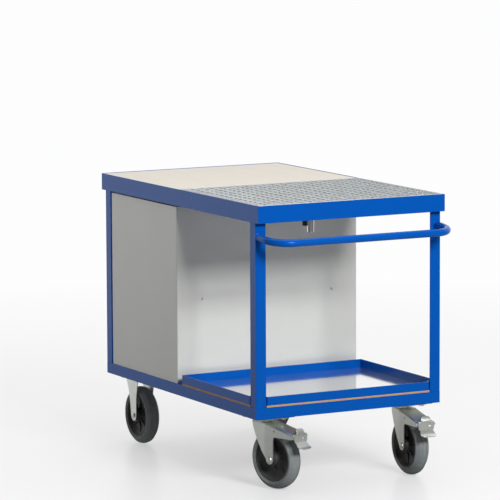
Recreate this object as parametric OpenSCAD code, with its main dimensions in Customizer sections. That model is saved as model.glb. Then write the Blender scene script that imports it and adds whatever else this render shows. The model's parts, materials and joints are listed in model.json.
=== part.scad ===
// Mobile workbench: half wood, half grating top over a drip tray, a drawer cabinet and an
// open bay below, a push handle, two fixed and two braked swivel casters.
// X runs along the bench towards the push handle, Y towards the drawer side, Z up from the floor.
// The origin is the middle of the whole bench on the floor. Millimetres throughout.

/* [Top] */
// Length of the top frame
top_l = 1150; // [960:5:1500]
// Width of the top frame
top_w = 700; // [580:5:900]
// Height of the top frame's upper edge above the floor
bench_h = 943; // [880:1:1150]
// Height of the top frame's band
band_h = 58; // [50:1:80]
// Thickness of the band and of the ledge inside it
band_t = 3; // [2:0.5:5]
// Width of the ledge that carries the worktops
ledge_w = 35; // [25:1:50]
// Depth of the ledge below the band's upper edge
ledge_depth = 30; // [24:1:40]
// How far the wood panel lies below the band's upper edge
wood_recess = 2; // [0:0.5:5]
// Distance from the cabinet end to the middle of the divider
divider_at = 581; // [480:1:760]
// Thickness of the divider's upright
divider_t = 4; // [3:0.5:8]
// Gap round the loose worktops
top_gap = 1.5; // [1:0.5:4]

/* [Grating] */
// Spacing of the grating's bars
grating_pitch = 33.3; // [25:0.1:50]
// Thickness of the load bars
grating_bar_t = 3; // [2:0.5:5]
// Thickness of the cross bars
grating_cross_t = 2; // [1.5:0.5:4]
// Height of the cross bars
grating_cross_h = 12; // [8:1:20]

/* [Drip tray and drain] */
// Sheet thickness of the drip tray
tray_t = 1.5; // [1:0.5:3]
// Depth of the drip tray below its lip
tray_depth = 20; // [12:1:24]
// Diameter of the drain valve's body
drain_d = 27; // [20:1:40]
// Bore of the drain
drain_bore = 17; // [12:1:30]
// Length of the drain valve below the tray
drain_l = 86; // [70:1:120]
// Length of the valve's lower end that a hose is clamped on
drain_tail_l = 22; // [15:1:30]
// Diameter of the valve knob
knob_d = 22; // [18:1:32]
// Thickness of the valve knob
knob_t = 13; // [10:1:20]

/* [Legs and base] */
// Flange width of the legs' angle iron
leg_w = 38; // [30:1:50]
// Thickness of the legs' angle iron
leg_t = 4; // [3:0.5:6]
// Distance of the legs from the ends of the top frame
leg_inset = 25; // [20:1:60]
// Height of the base frame
base_h = 38; // [30:1:60]
// Thickness of the base frame's angle iron
base_t = 4; // [3:0.5:6]
// Width of the base frame's upper flange
base_flange = 38; // [30:1:60]
// Thickness of the pads that the casters bolt to
pad_t = 5; // [4:1:10]

/* [Open bay] */
// Thickness of the deck board
board_t = 6; // [5:1:12]
// Height of the bay's rim
rim_h = 29; // [15:1:60]
// Thickness of the bay's rim
rim_t = 3; // [2:0.5:5]
// Thickness of the bright floor sheet
sheet_t = 1.5; // [1:0.5:4]
// Gap between the cabinet and the bay's rim
bay_gap = 37; // [20:1:80]

/* [Cabinet] */
// Width of the cabinet
cabinet_w = 497; // [400:1:600]
// Height of the cabinet
cabinet_h = 600; // [480:5:640]
// Sheet thickness of the cabinet
cabinet_t = 1.5; // [1:0.25:2.5]
// Outer bend radius of the cabinet's corners
cabinet_bend = 4; // [3:0.5:8]
// Distance between the two accessory holes in the bay side
hole_span = 500; // [300:10:520]
// Height of the accessory holes above the cabinet's underside
hole_rise = 282; // [150:1:400]
// Height of the rail above the top drawer
top_rail_h = 25; // [20:1:50]
// Height of the top drawer's front
drawer_a_h = 100; // [95:1:160]
// Height of the second drawer's front
drawer_b_h = 100; // [75:1:160]
// Height of the third drawer's front
drawer_c_h = 150; // [75:1:200]
// Gap between the drawer fronts
front_gap = 3; // [2:0.5:5]
// Depth of the drawer fronts' folded edge
front_d = 18; // [16:1:25]
// Length of the drawer boxes
drawer_l = 600; // [400:10:640]
// How far a drawer pulls out
drawer_travel = 480; // [300:10:520]
// Space for the runners on each side of a drawer
runner_gap = 13; // [12.5:0.5:16]

/* [Push handle] */
// Diameter of the handle's tube
handle_d = 25; // [20:1:35]
// Wall of the handle's tube
handle_wall = 2; // [1.5:0.5:3]
// Distance from the legs to the middle of the handle's grip
handle_reach = 115; // [80:1:180]
// Radius of the handle's bends
handle_bend = 70; // [40:1:78]
// Downward tilt of the handle
handle_tilt = 5; // [0:1:15]
// Height of the handle's welds above the floor
handle_z = 838; // [600:1:850]

/* [Casters] */
// Wheel diameter
wheel_d = 200; // [160:5:200]
// Tyre width
tyre_w = 50; // [40:1:50]
// Height of a caster from the floor to its plate
caster_h = 237; // [232:1:260]
// Length of the caster plates
plate_l = 140; // [120:1:160]
// Width of the caster plates
plate_w = 110; // [100:1:120]
// Thickness of the caster plates
plate_t = 4; // [3:0.5:6]
// Distance from the base frame's ends to the middle of a caster plate
caster_inset_x = 100; // [90:1:130]
// Distance from the base frame's sides to the middle of a caster plate
caster_inset_y = 85; // [65:1:120]
// Trail of the swivel casters
trail = 54; // [48:1:62]
// Turn of the swivel caster near the back side
swivel_turn_a = 17; // [-30:1:30]
// Turn of the swivel caster near the drawer side
swivel_turn_b = -2; // [-30:1:30]
// Thickness of the fork's sheet
fork_t = 3; // [2.5:0.5:4]
// Inner width of the forks
fork_gap = 60; // [56:0.5:62]
// Diameter of the wheel axles
axle_d = 12; // [10:1:16]

/* [Hidden] */
$fn = 48;

// Colours
blue = [0.02, 0.27, 0.62];
galvanised = [0.72, 0.74, 0.74];
light_grey = [0.78, 0.79, 0.78];
beige_wood = [0.87, 0.84, 0.79];
raw_wood = [0.86, 0.66, 0.47];
steel = [0.83, 0.85, 0.87];
black = [0.09, 0.09, 0.10];
rubber = [0.27, 0.28, 0.29];

// Clearances
skin = 0.3;         // between curved faces of different bodies
fit = 0.05;         // radial running fit of pins and axles
cut = 1;            // how far a cutter runs past the face it opens

// Overall length, with the handle's outer side as the far end
handle_over = handle_reach + handle_d / 2 - leg_inset;
x0 = -(top_l + handle_over) / 2;
x1 = x0 + top_l;
y0 = -top_w / 2;
y1 = top_w / 2;

// Levels
ledge_z = bench_h - ledge_depth;
band_z = bench_h - band_h;
base_z = caster_h + pad_t;
deck_z = base_z + base_h;
board_z = deck_z + board_t;
leg_top_z = ledge_z - band_t;

// Base frame and legs
base_x0 = x0 + leg_inset;
base_x1 = x1 - leg_inset;
base_y0 = y0 + band_t;
base_y1 = y1 - band_t;
base_w = base_y1 - base_y0;

// Cabinet, between the legs of its end and flush with the top frame's sides
cabinet_gap = 3;
cabinet_x0 = base_x0 + leg_w + cabinet_gap;
cabinet_x1 = cabinet_x0 + cabinet_w;
cabinet_y0 = y0 + 5;
cabinet_y1 = y1 - 1;
cabinet_z0 = deck_z;
cabinet_z1 = deck_z + cabinet_h;
hole_d = 6;         // accessory holes
screw_d = 6;        // hold-down screws

// Drawers, from the top
floor_lip = 10;
drawer_space = cabinet_h - top_rail_h - floor_lip;
drawer_d_h = drawer_space - drawer_a_h - drawer_b_h - drawer_c_h;
front_h = [drawer_a_h, drawer_b_h, drawer_c_h, drawer_d_h];
drawer_top_z = cabinet_z1 - top_rail_h;
front_z = [
    drawer_top_z - drawer_a_h,
    drawer_top_z - drawer_a_h - drawer_b_h,
    drawer_top_z - drawer_a_h - drawer_b_h - drawer_c_h,
    cabinet_z0 + floor_lip
];
box_lift = 7;       // a box's underside above its front's lower edge
box_drop = 46;      // a box's rim below its front's upper edge
front_inset = 2;    // gap between a front and the cabinet's sides
inner_x0 = cabinet_x0 + cabinet_t;
inner_x1 = cabinet_x1 - cabinet_t;
box_x0 = inner_x0 + runner_gap;
box_x1 = inner_x1 - runner_gap;
box_y1 = cabinet_y1 - front_d;
box_y0 = box_y1 - drawer_l;
box_t = 1.5;
front_t = 1.5;
grip_h = 24;        // height of the finger grip along a front's top
grip_lip = 9;       // depth of the lip that the fingers pull
runner_t = 1.5;
rail_h = 34;
rail_flange = 9;
roller_r = 10;
roller_t = 6;
rail_lift = 2;      // a rail's underside above its box's underside

// Lock in the top drawer's front
lock_x = (inner_x0 + inner_x1) / 2;
lock_z = front_z[0] + front_h[0] - 36;
lock_d = 18;
barrel_d = 12;
lock_cam_l = 52;
lock_cam_w = 12;
lock_cam_t = 2;

// Open bay
bay_x0 = cabinet_x1 + bay_gap;
bay_x1 = base_x1;
leg_clear = 4;      // gap between a leg and the rim
cross_lap = 20;     // how far the cross bearer reaches under the cabinet and the board

// Worktops
wood_z = bench_h - wood_recess;
divider_x = x0 + divider_at;
grating_x0 = divider_x + divider_t / 2 + top_gap;
grating_x1 = x1 - band_t - top_gap;
grating_y0 = y0 + band_t + top_gap;
grating_y1 = y1 - band_t - top_gap;
tray_x0 = divider_x + ledge_w + top_gap;
tray_x1 = x1 - band_t - ledge_w - top_gap;
tray_y0 = y0 + band_t + ledge_w + top_gap;
tray_y1 = y1 - band_t - ledge_w - top_gap;
drain_x = (tray_x0 + tray_x1) / 2;
drain_y = (tray_y0 + tray_y1) / 2;
tray_floor_z = ledge_z - tray_depth;
knob_z = tray_floor_z - 54;
knob_gap = 1.5;     // between the valve's body and its knob
stem_d = 8;

// Casters
axle_z = wheel_d / 2;
fixed_x = base_x0 + caster_inset_x;
swivel_x = base_x1 - caster_inset_x;
caster_y = [base_y0 + caster_inset_y, base_y1 - caster_inset_y];
bolt_span_x = plate_l - 35;
bolt_span_y = plate_w - 24;
bolt_d = 10;
pad_margin = 12;
crown_z = caster_h - 17;
fork_y = fork_gap / 2;
rim_r = wheel_d / 2 - 26;
rim_w = tyre_w - 6;
hub_w = fork_gap - 2;
hub_r = 22;
swivel_turn = [swivel_turn_a, swivel_turn_b];
pedal_x = 104;      // pedal pin ahead of the axle
pedal_z = crown_z - 35;
pin_d = 6;

// ---------------------------------------------------------------- helpers
module box(x, y, z) {
    translate([x[0], y[0], z[0]])
        cube([x[1] - x[0], y[1] - y[0], z[1] - z[0]]);
}

// Square frame of bars: outer rectangle less the inner one
module frame_ring(x, y, z, t) {
    difference() {
        box(x, y, z);
        box([x[0] + t, x[1] - t], [y[0] + t, y[1] - t], [z[0] - cut, z[1] + cut]);
    }
}

// Extrudes a side view, drawn in X and Z, between two Y planes
module side_plate(y_from, y_to) {
    translate([0, y_to, 0])
        rotate([90, 0, 0])
            linear_extrude(height = y_to - y_from)
                children();
}

// Pin along Y
module cross_pin(d, y_from, y_to) {
    translate([0, y_to, 0])
        rotate([90, 0, 0])
            cylinder(d = d, h = y_to - y_from);
}

// ---------------------------------------------------------------- top
module top_frame() {
    color(blue) {
        frame_ring([x0, x1], [y0, y1], [band_z, bench_h], band_t);
        frame_ring(
            [x0 + band_t, x1 - band_t],
            [y0 + band_t, y1 - band_t],
            [ledge_z - band_t, ledge_z],
            ledge_w
        );
    }
}

module divider_rail() {
    color(blue) {
        box(
            [divider_x - divider_t / 2, divider_x + divider_t / 2],
            [y0 + band_t, y1 - band_t],
            [ledge_z, wood_z]
        );
        box(
            [divider_x - ledge_w, divider_x + ledge_w],
            [y0 + band_t + ledge_w, y1 - band_t - ledge_w],
            [ledge_z - band_t, ledge_z]
        );
    }
}

module wood_panel() {
    color(beige_wood)
        box(
            [x0 + band_t + top_gap, divider_x - divider_t / 2 - top_gap],
            [y0 + band_t + top_gap, y1 - band_t - top_gap],
            [ledge_z, wood_z]
        );
}

module grating() {
    bottom_z = ledge_z + tray_t;
    len_x = grating_x1 - grating_x0;
    len_y = grating_y1 - grating_y0;
    bars = floor((len_y - grating_bar_t) / grating_pitch);
    crosses = floor((len_x - grating_bar_t) / grating_pitch);
    first_y = grating_y0 + (len_y - bars * grating_pitch) / 2;
    first_x = grating_x0 + (len_x - crosses * grating_pitch) / 2;
    color(galvanised) {
        frame_ring([grating_x0, grating_x1], [grating_y0, grating_y1], [bottom_z, bench_h], grating_bar_t);
        for (i = [0 : bars])
            box(
                [grating_x0, grating_x1],
                [
                    max(grating_y0, first_y + i * grating_pitch - grating_bar_t / 2),
                    min(grating_y1, first_y + i * grating_pitch + grating_bar_t / 2)
                ],
                [bottom_z, bench_h]
            );
        for (i = [0 : crosses])
            box(
                [
                    max(grating_x0, first_x + i * grating_pitch - grating_cross_t / 2),
                    min(grating_x1, first_x + i * grating_pitch + grating_cross_t / 2)
                ],
                [grating_y0, grating_y1],
                [bench_h - grating_cross_h, bench_h]
            );
    }
}

module drip_tray() {
    color(steel)
        difference() {
            union() {
                box(
                    [grating_x0, grating_x1],
                    [grating_y0, grating_y1],
                    [ledge_z, ledge_z + tray_t]
                );
                box([tray_x0, tray_x1], [tray_y0, tray_y1], [tray_floor_z, ledge_z + tray_t]);
            }
            box(
                [tray_x0 + tray_t, tray_x1 - tray_t],
                [tray_y0 + tray_t, tray_y1 - tray_t],
                [tray_floor_z + tray_t, ledge_z + tray_t + cut]
            );
            translate([drain_x, drain_y, tray_floor_z - cut])
                cylinder(d = drain_bore, h = tray_t + 2 * cut);
        }
}

module drain_valve() {
    nut_h = 12;
    boss_d = 16;
    boss_y = drain_y - drain_d / 2;
    color(steel)
        difference() {
            union() {
                translate([drain_x, drain_y, tray_floor_z - drain_l])
                    cylinder(d = drain_d - 1, h = drain_tail_l + cut);
                translate([drain_x, drain_y, tray_floor_z - drain_l + drain_tail_l])
                    cylinder(d = drain_d, h = drain_l - drain_tail_l);
                translate([drain_x, drain_y, tray_floor_z - nut_h])
                    cylinder(d = drain_d + 8, h = nut_h, $fn = 6);
                translate([drain_x, boss_y, knob_z])
                    rotate([90, 0, 0])
                        translate([0, 0, -6])
                            cylinder(d = boss_d, h = 6 + knob_gap - skin);
            }
            translate([drain_x, drain_y, tray_floor_z - drain_l - cut])
                cylinder(d = drain_bore, h = drain_l + 2 * cut);
            translate([drain_x, boss_y + 6 + cut, knob_z])
                rotate([90, 0, 0])
                    cylinder(d = stem_d + 2 * fit, h = 10 + 2 * cut);
        }
}

module drain_knob() {
    face_y = drain_y - drain_d / 2 - knob_gap;
    color(black)
        translate([drain_x, face_y, knob_z])
            rotate([90, 0, 0]) {
                difference() {
                    cylinder(d = knob_d, h = knob_t);
                    for (s = [-1, 1])
                        translate([s * (knob_d / 2 + 1), 0, knob_t / 2 + 3])
                            cube([knob_d - 6, knob_d + 2, knob_t], center = true);
                }
                translate([0, 0, -6])
                    cylinder(d = stem_d, h = 7);
            }
}

// ---------------------------------------------------------------- legs and base
// Angle iron with its corner at x, y and its flanges running towards dx, dy
module angle_leg(x, y, dx, dy) {
    color(blue) {
        box(
            [min(x, x + dx * leg_w), max(x, x + dx * leg_w)],
            [min(y, y + dy * leg_t), max(y, y + dy * leg_t)],
            [deck_z, leg_top_z]
        );
        box(
            [min(x, x + dx * leg_t), max(x, x + dx * leg_t)],
            [min(y, y + dy * leg_w), max(y, y + dy * leg_w)],
            [deck_z, leg_top_z]
        );
    }
}

module leg_cabinet_back() { angle_leg(base_x0, base_y0, 1, 1); }
module leg_cabinet_front() { angle_leg(base_x0, base_y1, 1, -1); }
module leg_handle_back() { angle_leg(base_x1, base_y0, -1, 1); }
module leg_handle_front() { angle_leg(base_x1, base_y1, -1, -1); }

// Holes for the bolts of one caster
module bolt_pattern() {
    for (sx = [-1, 1])
        for (sy = [-1, 1])
            translate([sx * bolt_span_x / 2, sy * bolt_span_y / 2, 0])
                children();
}

module caster_pad(x, y) {
    difference() {
        translate([x, y, caster_h])
            linear_extrude(height = pad_t)
                square([plate_l + 2 * pad_margin, plate_w + 2 * pad_margin], center = true);
        translate([x, y, caster_h - cut])
            bolt_pattern()
                cylinder(d = bolt_d + 1, h = pad_t + 2 * cut);
    }
}

module base_frame() {
    color(blue) {
        frame_ring([base_x0, base_x1], [base_y0, base_y1], [base_z, deck_z], base_t);
        difference() {
            union() {
                frame_ring(
                    [base_x0, base_x1],
                    [base_y0, base_y1],
                    [deck_z - base_t, deck_z],
                    base_flange
                );
                box(
                    [cabinet_x1 - cross_lap, bay_x0 + cross_lap],
                    [base_y0 + base_t, base_y1 - base_t],
                    [deck_z - base_t, deck_z]
                );
            }
            screw_holes();
        }
        for (x = [fixed_x, swivel_x])
            for (y = caster_y) {
                caster_pad(x, y);
                pad_bearer(x, y);
            }
    }
}

// Flat bar from the base frame's side over a pad, which ties the pad to the frame
module pad_bearer(x, y) {
    side = y < 0 ? -1 : 1;
    reach_y = y < 0 ? base_y0 + base_t : base_y1 - base_t;
    near_y = y - side * (plate_w / 2 + pad_margin);
    for (s = [-1, 1])
        box(
            [x + s * (plate_l / 2 + pad_margin) - base_t / 2 - s * base_t / 2,
             x + s * (plate_l / 2 + pad_margin) + base_t / 2 - s * base_t / 2],
            [min(reach_y, near_y), max(reach_y, near_y)],
            [base_z, deck_z - base_t]
        );
}

// Plan of the open bay, cut away round the two legs, shrunk by d
module bay_plan(d, clear) {
    notch = leg_w + clear + d;
    polygon([
        [bay_x0 + d, base_y0 + d],
        [bay_x1 - notch, base_y0 + d],
        [bay_x1 - notch, base_y0 + leg_t + clear + d],
        [bay_x1 - leg_t - clear - d, base_y0 + leg_t + clear + d],
        [bay_x1 - leg_t - clear - d, base_y0 + notch],
        [bay_x1 - d, base_y0 + notch],
        [bay_x1 - d, base_y1 - notch],
        [bay_x1 - leg_t - clear - d, base_y1 - notch],
        [bay_x1 - leg_t - clear - d, base_y1 - leg_t - clear - d],
        [bay_x1 - notch, base_y1 - leg_t - clear - d],
        [bay_x1 - notch, base_y1 - d],
        [bay_x0 + d, base_y1 - d]
    ]);
}

module deck_board() {
    color(raw_wood)
        translate([0, 0, deck_z])
            linear_extrude(height = board_t)
                bay_plan(0, leg_clear / 2);
}

module bay_rim() {
    color(blue)
        translate([0, 0, board_z])
            difference() {
                linear_extrude(height = rim_h)
                    bay_plan(0, leg_clear);
                translate([0, 0, -cut])
                    linear_extrude(height = rim_h + 2 * cut)
                        bay_plan(rim_t, leg_clear);
            }
}

module bay_floor_sheet() {
    color(steel)
        translate([0, 0, board_z])
            linear_extrude(height = sheet_t)
                bay_plan(rim_t + 0.5, leg_clear);
}

// ---------------------------------------------------------------- push handle
module handle_section() {
    difference() {
        circle(d = handle_d);
        circle(d = handle_d - 2 * handle_wall);
    }
}

module handle_run(l) {
    linear_extrude(height = l)
        handle_section();
}

module handle_bend_piece() {
    rotate_extrude(angle = 90)
        translate([handle_bend, 0])
            handle_section();
}

module push_handle() {
    tube_y = base_w / 2 - handle_d / 2 - 0.5;
    run_x = handle_reach / cos(handle_tilt);
    stub = 8;
    color(blue)
        difference() {
            translate([base_x1, 0, handle_z])
                rotate([0, handle_tilt, 0]) {
                    for (s = [-1, 1])
                        translate([-stub, s * tube_y, 0])
                            rotate([0, 90, 0])
                                handle_run(run_x - handle_bend + stub);
                    translate([run_x - handle_bend, tube_y - handle_bend, 0])
                        handle_bend_piece();
                    translate([run_x - handle_bend, -tube_y + handle_bend, 0])
                        rotate([0, 0, -90])
                            handle_bend_piece();
                    translate([run_x, tube_y - handle_bend, 0])
                        rotate([90, 0, 0])
                            handle_run(2 * (tube_y - handle_bend));
                }
            box([base_x1 - 40, base_x1], [y0, y1], [handle_z - 60, handle_z + 60]);
        }
}

// ---------------------------------------------------------------- cabinet
module flat_box(x, y) {
    translate([x[0], y[0]])
        square([x[1] - x[0], y[1] - y[0]]);
}

// Plan of the bent sheet, left side, back and right side in one piece, shrunk by d
module wrap_outline(d) {
    bends_x = [cabinet_x0 + cabinet_bend, cabinet_x1 - cabinet_bend];
    flat_box([cabinet_x0 + d, cabinet_x1 - d], [cabinet_y0 + cabinet_bend, cabinet_y1]);
    flat_box(bends_x, [cabinet_y0 + d, cabinet_y1]);
    for (x = bends_x)
        translate([x, cabinet_y0 + cabinet_bend])
            circle(cabinet_bend - d);
}

module cabinet_wrap() {
    color(light_grey)
        difference() {
            translate([0, 0, cabinet_z0])
                linear_extrude(height = cabinet_h)
                    wrap_outline(0);
            translate([0, 0, cabinet_z0 - cut])
                linear_extrude(height = cabinet_h + 2 * cut)
                    wrap_outline(cabinet_t);
            box(
                [inner_x0, inner_x1],
                [cabinet_y1 - cut, cabinet_y1 + cut],
                [cabinet_z0 - cut, cabinet_z1 + cut]
            );
            for (s = [-1, 1])
                translate([cabinet_x1 - cabinet_t - cut, s * hole_span / 2, cabinet_z0 + hole_rise])
                    rotate([0, 90, 0])
                        cylinder(d = hole_d, h = cabinet_t + 2 * cut);
        }
}

module cabinet_top() {
    color(light_grey)
        difference() {
            box(
                [inner_x0, inner_x1],
                [cabinet_y0 + cabinet_bend, cabinet_y1],
                [cabinet_z1 - top_rail_h + front_gap, cabinet_z1]
            );
            box(
                [inner_x0 - cut, inner_x1 + cut],
                [cabinet_y0, cabinet_y1 - cabinet_t],
                [cabinet_z0, cabinet_z1 - cabinet_t]
            );
        }
}

module cabinet_floor() {
    color(light_grey)
        difference() {
            box(
                [inner_x0, inner_x1],
                [cabinet_y0 + cabinet_bend, cabinet_y1],
                [cabinet_z0, cabinet_z0 + floor_lip - front_gap]
            );
            box(
                [inner_x0 - cut, inner_x1 + cut],
                [cabinet_y0, cabinet_y1 - cabinet_t],
                [cabinet_z0 + cabinet_t, cabinet_z1]
            );
            screw_holes();
        }
}

// Pan-head screws that hold the cabinet down on the base frame's flange
module at_screws() {
    for (x = [cabinet_x0 + 60, cabinet_x1 - 60])
        for (y = [base_y0 + base_flange / 2 + 5, base_y1 - base_flange / 2 - 5])
            translate([x, y, deck_z])
                children();
}

module cabinet_screws() {
    head_d = 14;
    head_h = 3;
    color(galvanised)
        at_screws() {
            translate([0, 0, cabinet_t])
                cylinder(d = head_d, h = head_h);
            translate([0, 0, -base_t - 6])
                cylinder(d = screw_d, h = base_t + 6 + cabinet_t);
        }
}

module screw_holes() {
    at_screws()
        translate([0, 0, -base_t - cut])
            cylinder(d = screw_d + 0.4, h = base_t + cabinet_t + 2 * cut);
}

// Fixed rails of the roller runners, with a roller at the drawer side
module runner_rails() {
    color(galvanised)
        for (i = [0 : 3]) {
            z = front_z[i] + box_lift + rail_lift;
            for (side = [0, 1])
                rail(side, z);
        }
}

// Distance d from a side wall's inner face, on the given side
function from_side(side, d) = side == 0 ? inner_x0 + d : inner_x1 - d;
function span_x(side, a, b) = [
    min(from_side(side, a), from_side(side, b)),
    max(from_side(side, a), from_side(side, b))
];

module rail(side, z) {
    y = [box_y0, box_y1 - 2];
    box(span_x(side, 0, runner_t), y, [z, z + rail_h]);
    for (flange_z = [z, z + rail_h - runner_t])
        box(span_x(side, 0, rail_flange), y, [flange_z, flange_z + runner_t]);
    roller(from_side(side, runner_t), side, box_y1 - 22, z + 3 + roller_r);
}

module roller(x, side, y, z) {
    translate([x, y, z])
        rotate([0, side == 0 ? 90 : -90, 0])
            cylinder(r = roller_r, h = roller_t);
}

// ---------------------------------------------------------------- drawers
// Folded front: face, finger grip along the top and a return at the bottom
module drawer_front(i) {
    h = front_h[i] - front_gap;
    y_out = cabinet_y1;
    x = [inner_x0 + front_inset, inner_x1 - front_inset];
    z = front_z[i] + front_gap / 2;
    face_z = z + h - grip_h;
    color(light_grey)
        difference() {
            union() {
                box(x, [y_out - front_t, y_out], [z, face_z]);
                box(x, [y_out - front_d, y_out], [face_z - front_t, face_z]);
                box(x, [y_out - front_d, y_out - front_d + front_t], [z, z + h]);
                box(x, [y_out - front_d, y_out], [z + h - front_t, z + h]);
                box(x, [y_out - front_t, y_out], [z + h - grip_lip, z + h]);
                box(x, [y_out - front_d, y_out], [z, z + front_t]);
            }
            if (i == 0)
                translate([lock_x, y_out + cut, lock_z])
                    rotate([90, 0, 0])
                        cylinder(d = lock_d, h = front_d + 2 * cut);
        }
}

module drawer_box(i) {
    z0 = front_z[i] + box_lift;
    z1 = front_z[i] + front_h[i] - box_drop;
    color(galvanised)
        difference() {
            box([box_x0, box_x1], [box_y0, box_y1], [z0, z1]);
            box([box_x0 + box_t, box_x1 - box_t], [box_y0 + box_t, box_y1 - box_t], [z0 + box_t, z1 + cut]);
        }
}

// Moving runner members: an angle on each side of the box with a roller at its rear end
module drawer_runners(i) {
    z = front_z[i] + box_lift + rail_lift;
    flange_z = z + 3 + 2 * roller_r + skin;
    color(galvanised)
        for (side = [0, 1]) {
            box(
                span_x(side, runner_gap - runner_t, runner_gap),
                [box_y0, box_y1],
                [z + 4, flange_z + runner_t]
            );
            box(
                span_x(side, runner_t + 1, runner_gap),
                [box_y0, box_y1],
                [flange_z, flange_z + runner_t]
            );
            roller(from_side(side, runner_gap), 1 - side, box_y0 + 14, z + runner_t + skin + roller_r);
        }
}

module drawer_a_box() { drawer_box(0); }
module drawer_a_front() { drawer_front(0); }
module drawer_a_runners() { drawer_runners(0); }
module drawer_b_box() { drawer_box(1); }
module drawer_b_front() { drawer_front(1); }
module drawer_b_runners() { drawer_runners(1); }
module drawer_c_box() { drawer_box(2); }
module drawer_c_front() { drawer_front(2); }
module drawer_c_runners() { drawer_runners(2); }
module drawer_d_box() { drawer_box(3); }
module drawer_d_front() { drawer_front(3); }
module drawer_d_runners() { drawer_runners(3); }

module lock_housing() {
    color(steel)
        difference() {
            translate([lock_x, cabinet_y1, lock_z])
                rotate([90, 0, 0])
                    cylinder(d = lock_d, h = front_d);
            translate([lock_x, cabinet_y1 + cut, lock_z])
                rotate([90, 0, 0])
                    cylinder(d = barrel_d + 2 * fit, h = front_d + 2 * cut);
        }
}

module lock_barrel() {
    cam_y = cabinet_y1 - front_d - skin;
    color(steel)
        difference() {
            union() {
                translate([lock_x, cabinet_y1 - 0.5, lock_z])
                    rotate([90, 0, 0])
                        cylinder(d = barrel_d, h = front_d - 0.5 + skin + lock_cam_t);
                box(
                    [lock_x - lock_cam_w / 2, lock_x + lock_cam_l],
                    [cam_y - lock_cam_t, cam_y],
                    [lock_z - lock_cam_w / 2, lock_z + lock_cam_w / 2]
                );
            }
            translate([lock_x, cabinet_y1, lock_z])
                cube([1.2, 8, 7], center = true);
        }
}

// ---------------------------------------------------------------- casters
module hex_head(d, h) {
    cylinder(d = d, h = h, $fn = 6);
}

module caster_bolts() {
    head_h = 6;
    nut_h = 8;
    color(galvanised)
        for (x = [fixed_x, swivel_x])
            for (y = caster_y)
                translate([x, y, 0])
                    bolt_pattern() {
                        translate([0, 0, caster_h - plate_t - head_h])
                            hex_head(18, head_h);
                        translate([0, 0, caster_h - plate_t])
                            cylinder(d = bolt_d, h = plate_t + pad_t + nut_h + 2);
                        translate([0, 0, caster_h + pad_t])
                            difference() {
                                hex_head(18, nut_h);
                                translate([0, 0, -cut])
                                    cylinder(d = bolt_d + 0.2, h = nut_h + 2 * cut);
                            }
                    }
}

module plate_with_holes(t) {
    difference() {
        translate([-plate_l / 2, -plate_w / 2, 0])
            cube([plate_l, plate_w, t]);
        translate([0, 0, -cut])
            bolt_pattern()
                cylinder(d = bolt_d + 1, h = t + 2 * cut);
    }
}

// Side view of a fixed fork's leg, the axle at the origin
module fixed_leg_outline() {
    top = caster_h - plate_t - axle_z;
    difference() {
        union() {
            circle(r = 19);
            polygon([
                [-19, 0], [-25, 30], [-34, 66], [-44, 92], [-62, top - 14], [-66, top],
                [34, top], [26, 96], [20, 60], [19, 0]
            ]);
        }
        circle(d = axle_d + 2 * fit);
    }
}

module fixed_fork(y) {
    top = caster_h - plate_t;
    color(galvanised)
        translate([fixed_x, y, 0]) {
            translate([0, 0, top])
                plate_with_holes(plate_t);
            for (s = [-1, 1])
                translate([0, s * (fork_y + fork_t / 2), axle_z])
                    side_plate(-fork_t / 2, fork_t / 2)
                        fixed_leg_outline();
            box([-66, 34], [-fork_y - fork_t, fork_y + fork_t], [top - fork_t, top]);
        }
}

module fixed_fork_back() { fixed_fork(caster_y[0]); }
module fixed_fork_front() { fixed_fork(caster_y[1]); }

// Axle bolt with a hexagon head and a nut, its middle at the origin
module axle_bolt() {
    half = fork_y + fork_t;
    cross_pin(axle_d, -half, half + 8);
    translate([0, -half, 0])
        rotate([90, 0, 0])
            hex_head(20, 6);
    translate([0, half + 6, 0])
        rotate([90, 0, 0])
            hex_head(20, 6);
}

module fixed_axles() {
    color(galvanised)
        for (y = caster_y)
            translate([fixed_x, y, axle_z])
                axle_bolt();
}

// Places a swivel caster's part: the swivel axis over the origin, the trail along X
module at_swivel(i) {
    translate([swivel_x, caster_y[i], 0])
        rotate([0, 0, swivel_turn[i]])
            children();
}

module swivel_plate(i) {
    race_h = caster_h - plate_t - crown_z - 5;
    color(galvanised)
        translate([swivel_x, caster_y[i], 0]) {
            translate([0, 0, caster_h - plate_t])
                plate_with_holes(plate_t);
            translate([0, 0, caster_h - plate_t - race_h])
                cylinder(d1 = 66, d2 = 76, h = race_h);
            translate([0, 0, crown_z - fork_t - 7])
                cylinder(d = axle_d, h = caster_h - plate_t - crown_z + fork_t + 7);
            translate([0, 0, crown_z - fork_t - 7])
                cylinder(d = 24, h = 7 - skin);
        }
}

module swivel_plate_back() { swivel_plate(0); }
module swivel_plate_front() { swivel_plate(1); }

// Side view of a swivel fork's leg with the tongue that carries the pedal, the axle at the origin
module swivel_leg_outline() {
    top = crown_z - axle_z;
    tip = pedal_z - axle_z;
    difference() {
        union() {
            circle(r = 16);
            polygon([
                [-16, 0], [-38, 24], [-66, 66], [-trail - 28, 98], [-trail - 34, top],
                [-trail + 34, top], [pedal_x + 4, tip + 8], [pedal_x + 4, tip - 8],
                [16, top - 44], [16, 0]
            ]);
        }
        circle(d = axle_d + 2 * fit);
        translate([pedal_x, tip])
            circle(d = pin_d + 2 * fit);
    }
}

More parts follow.
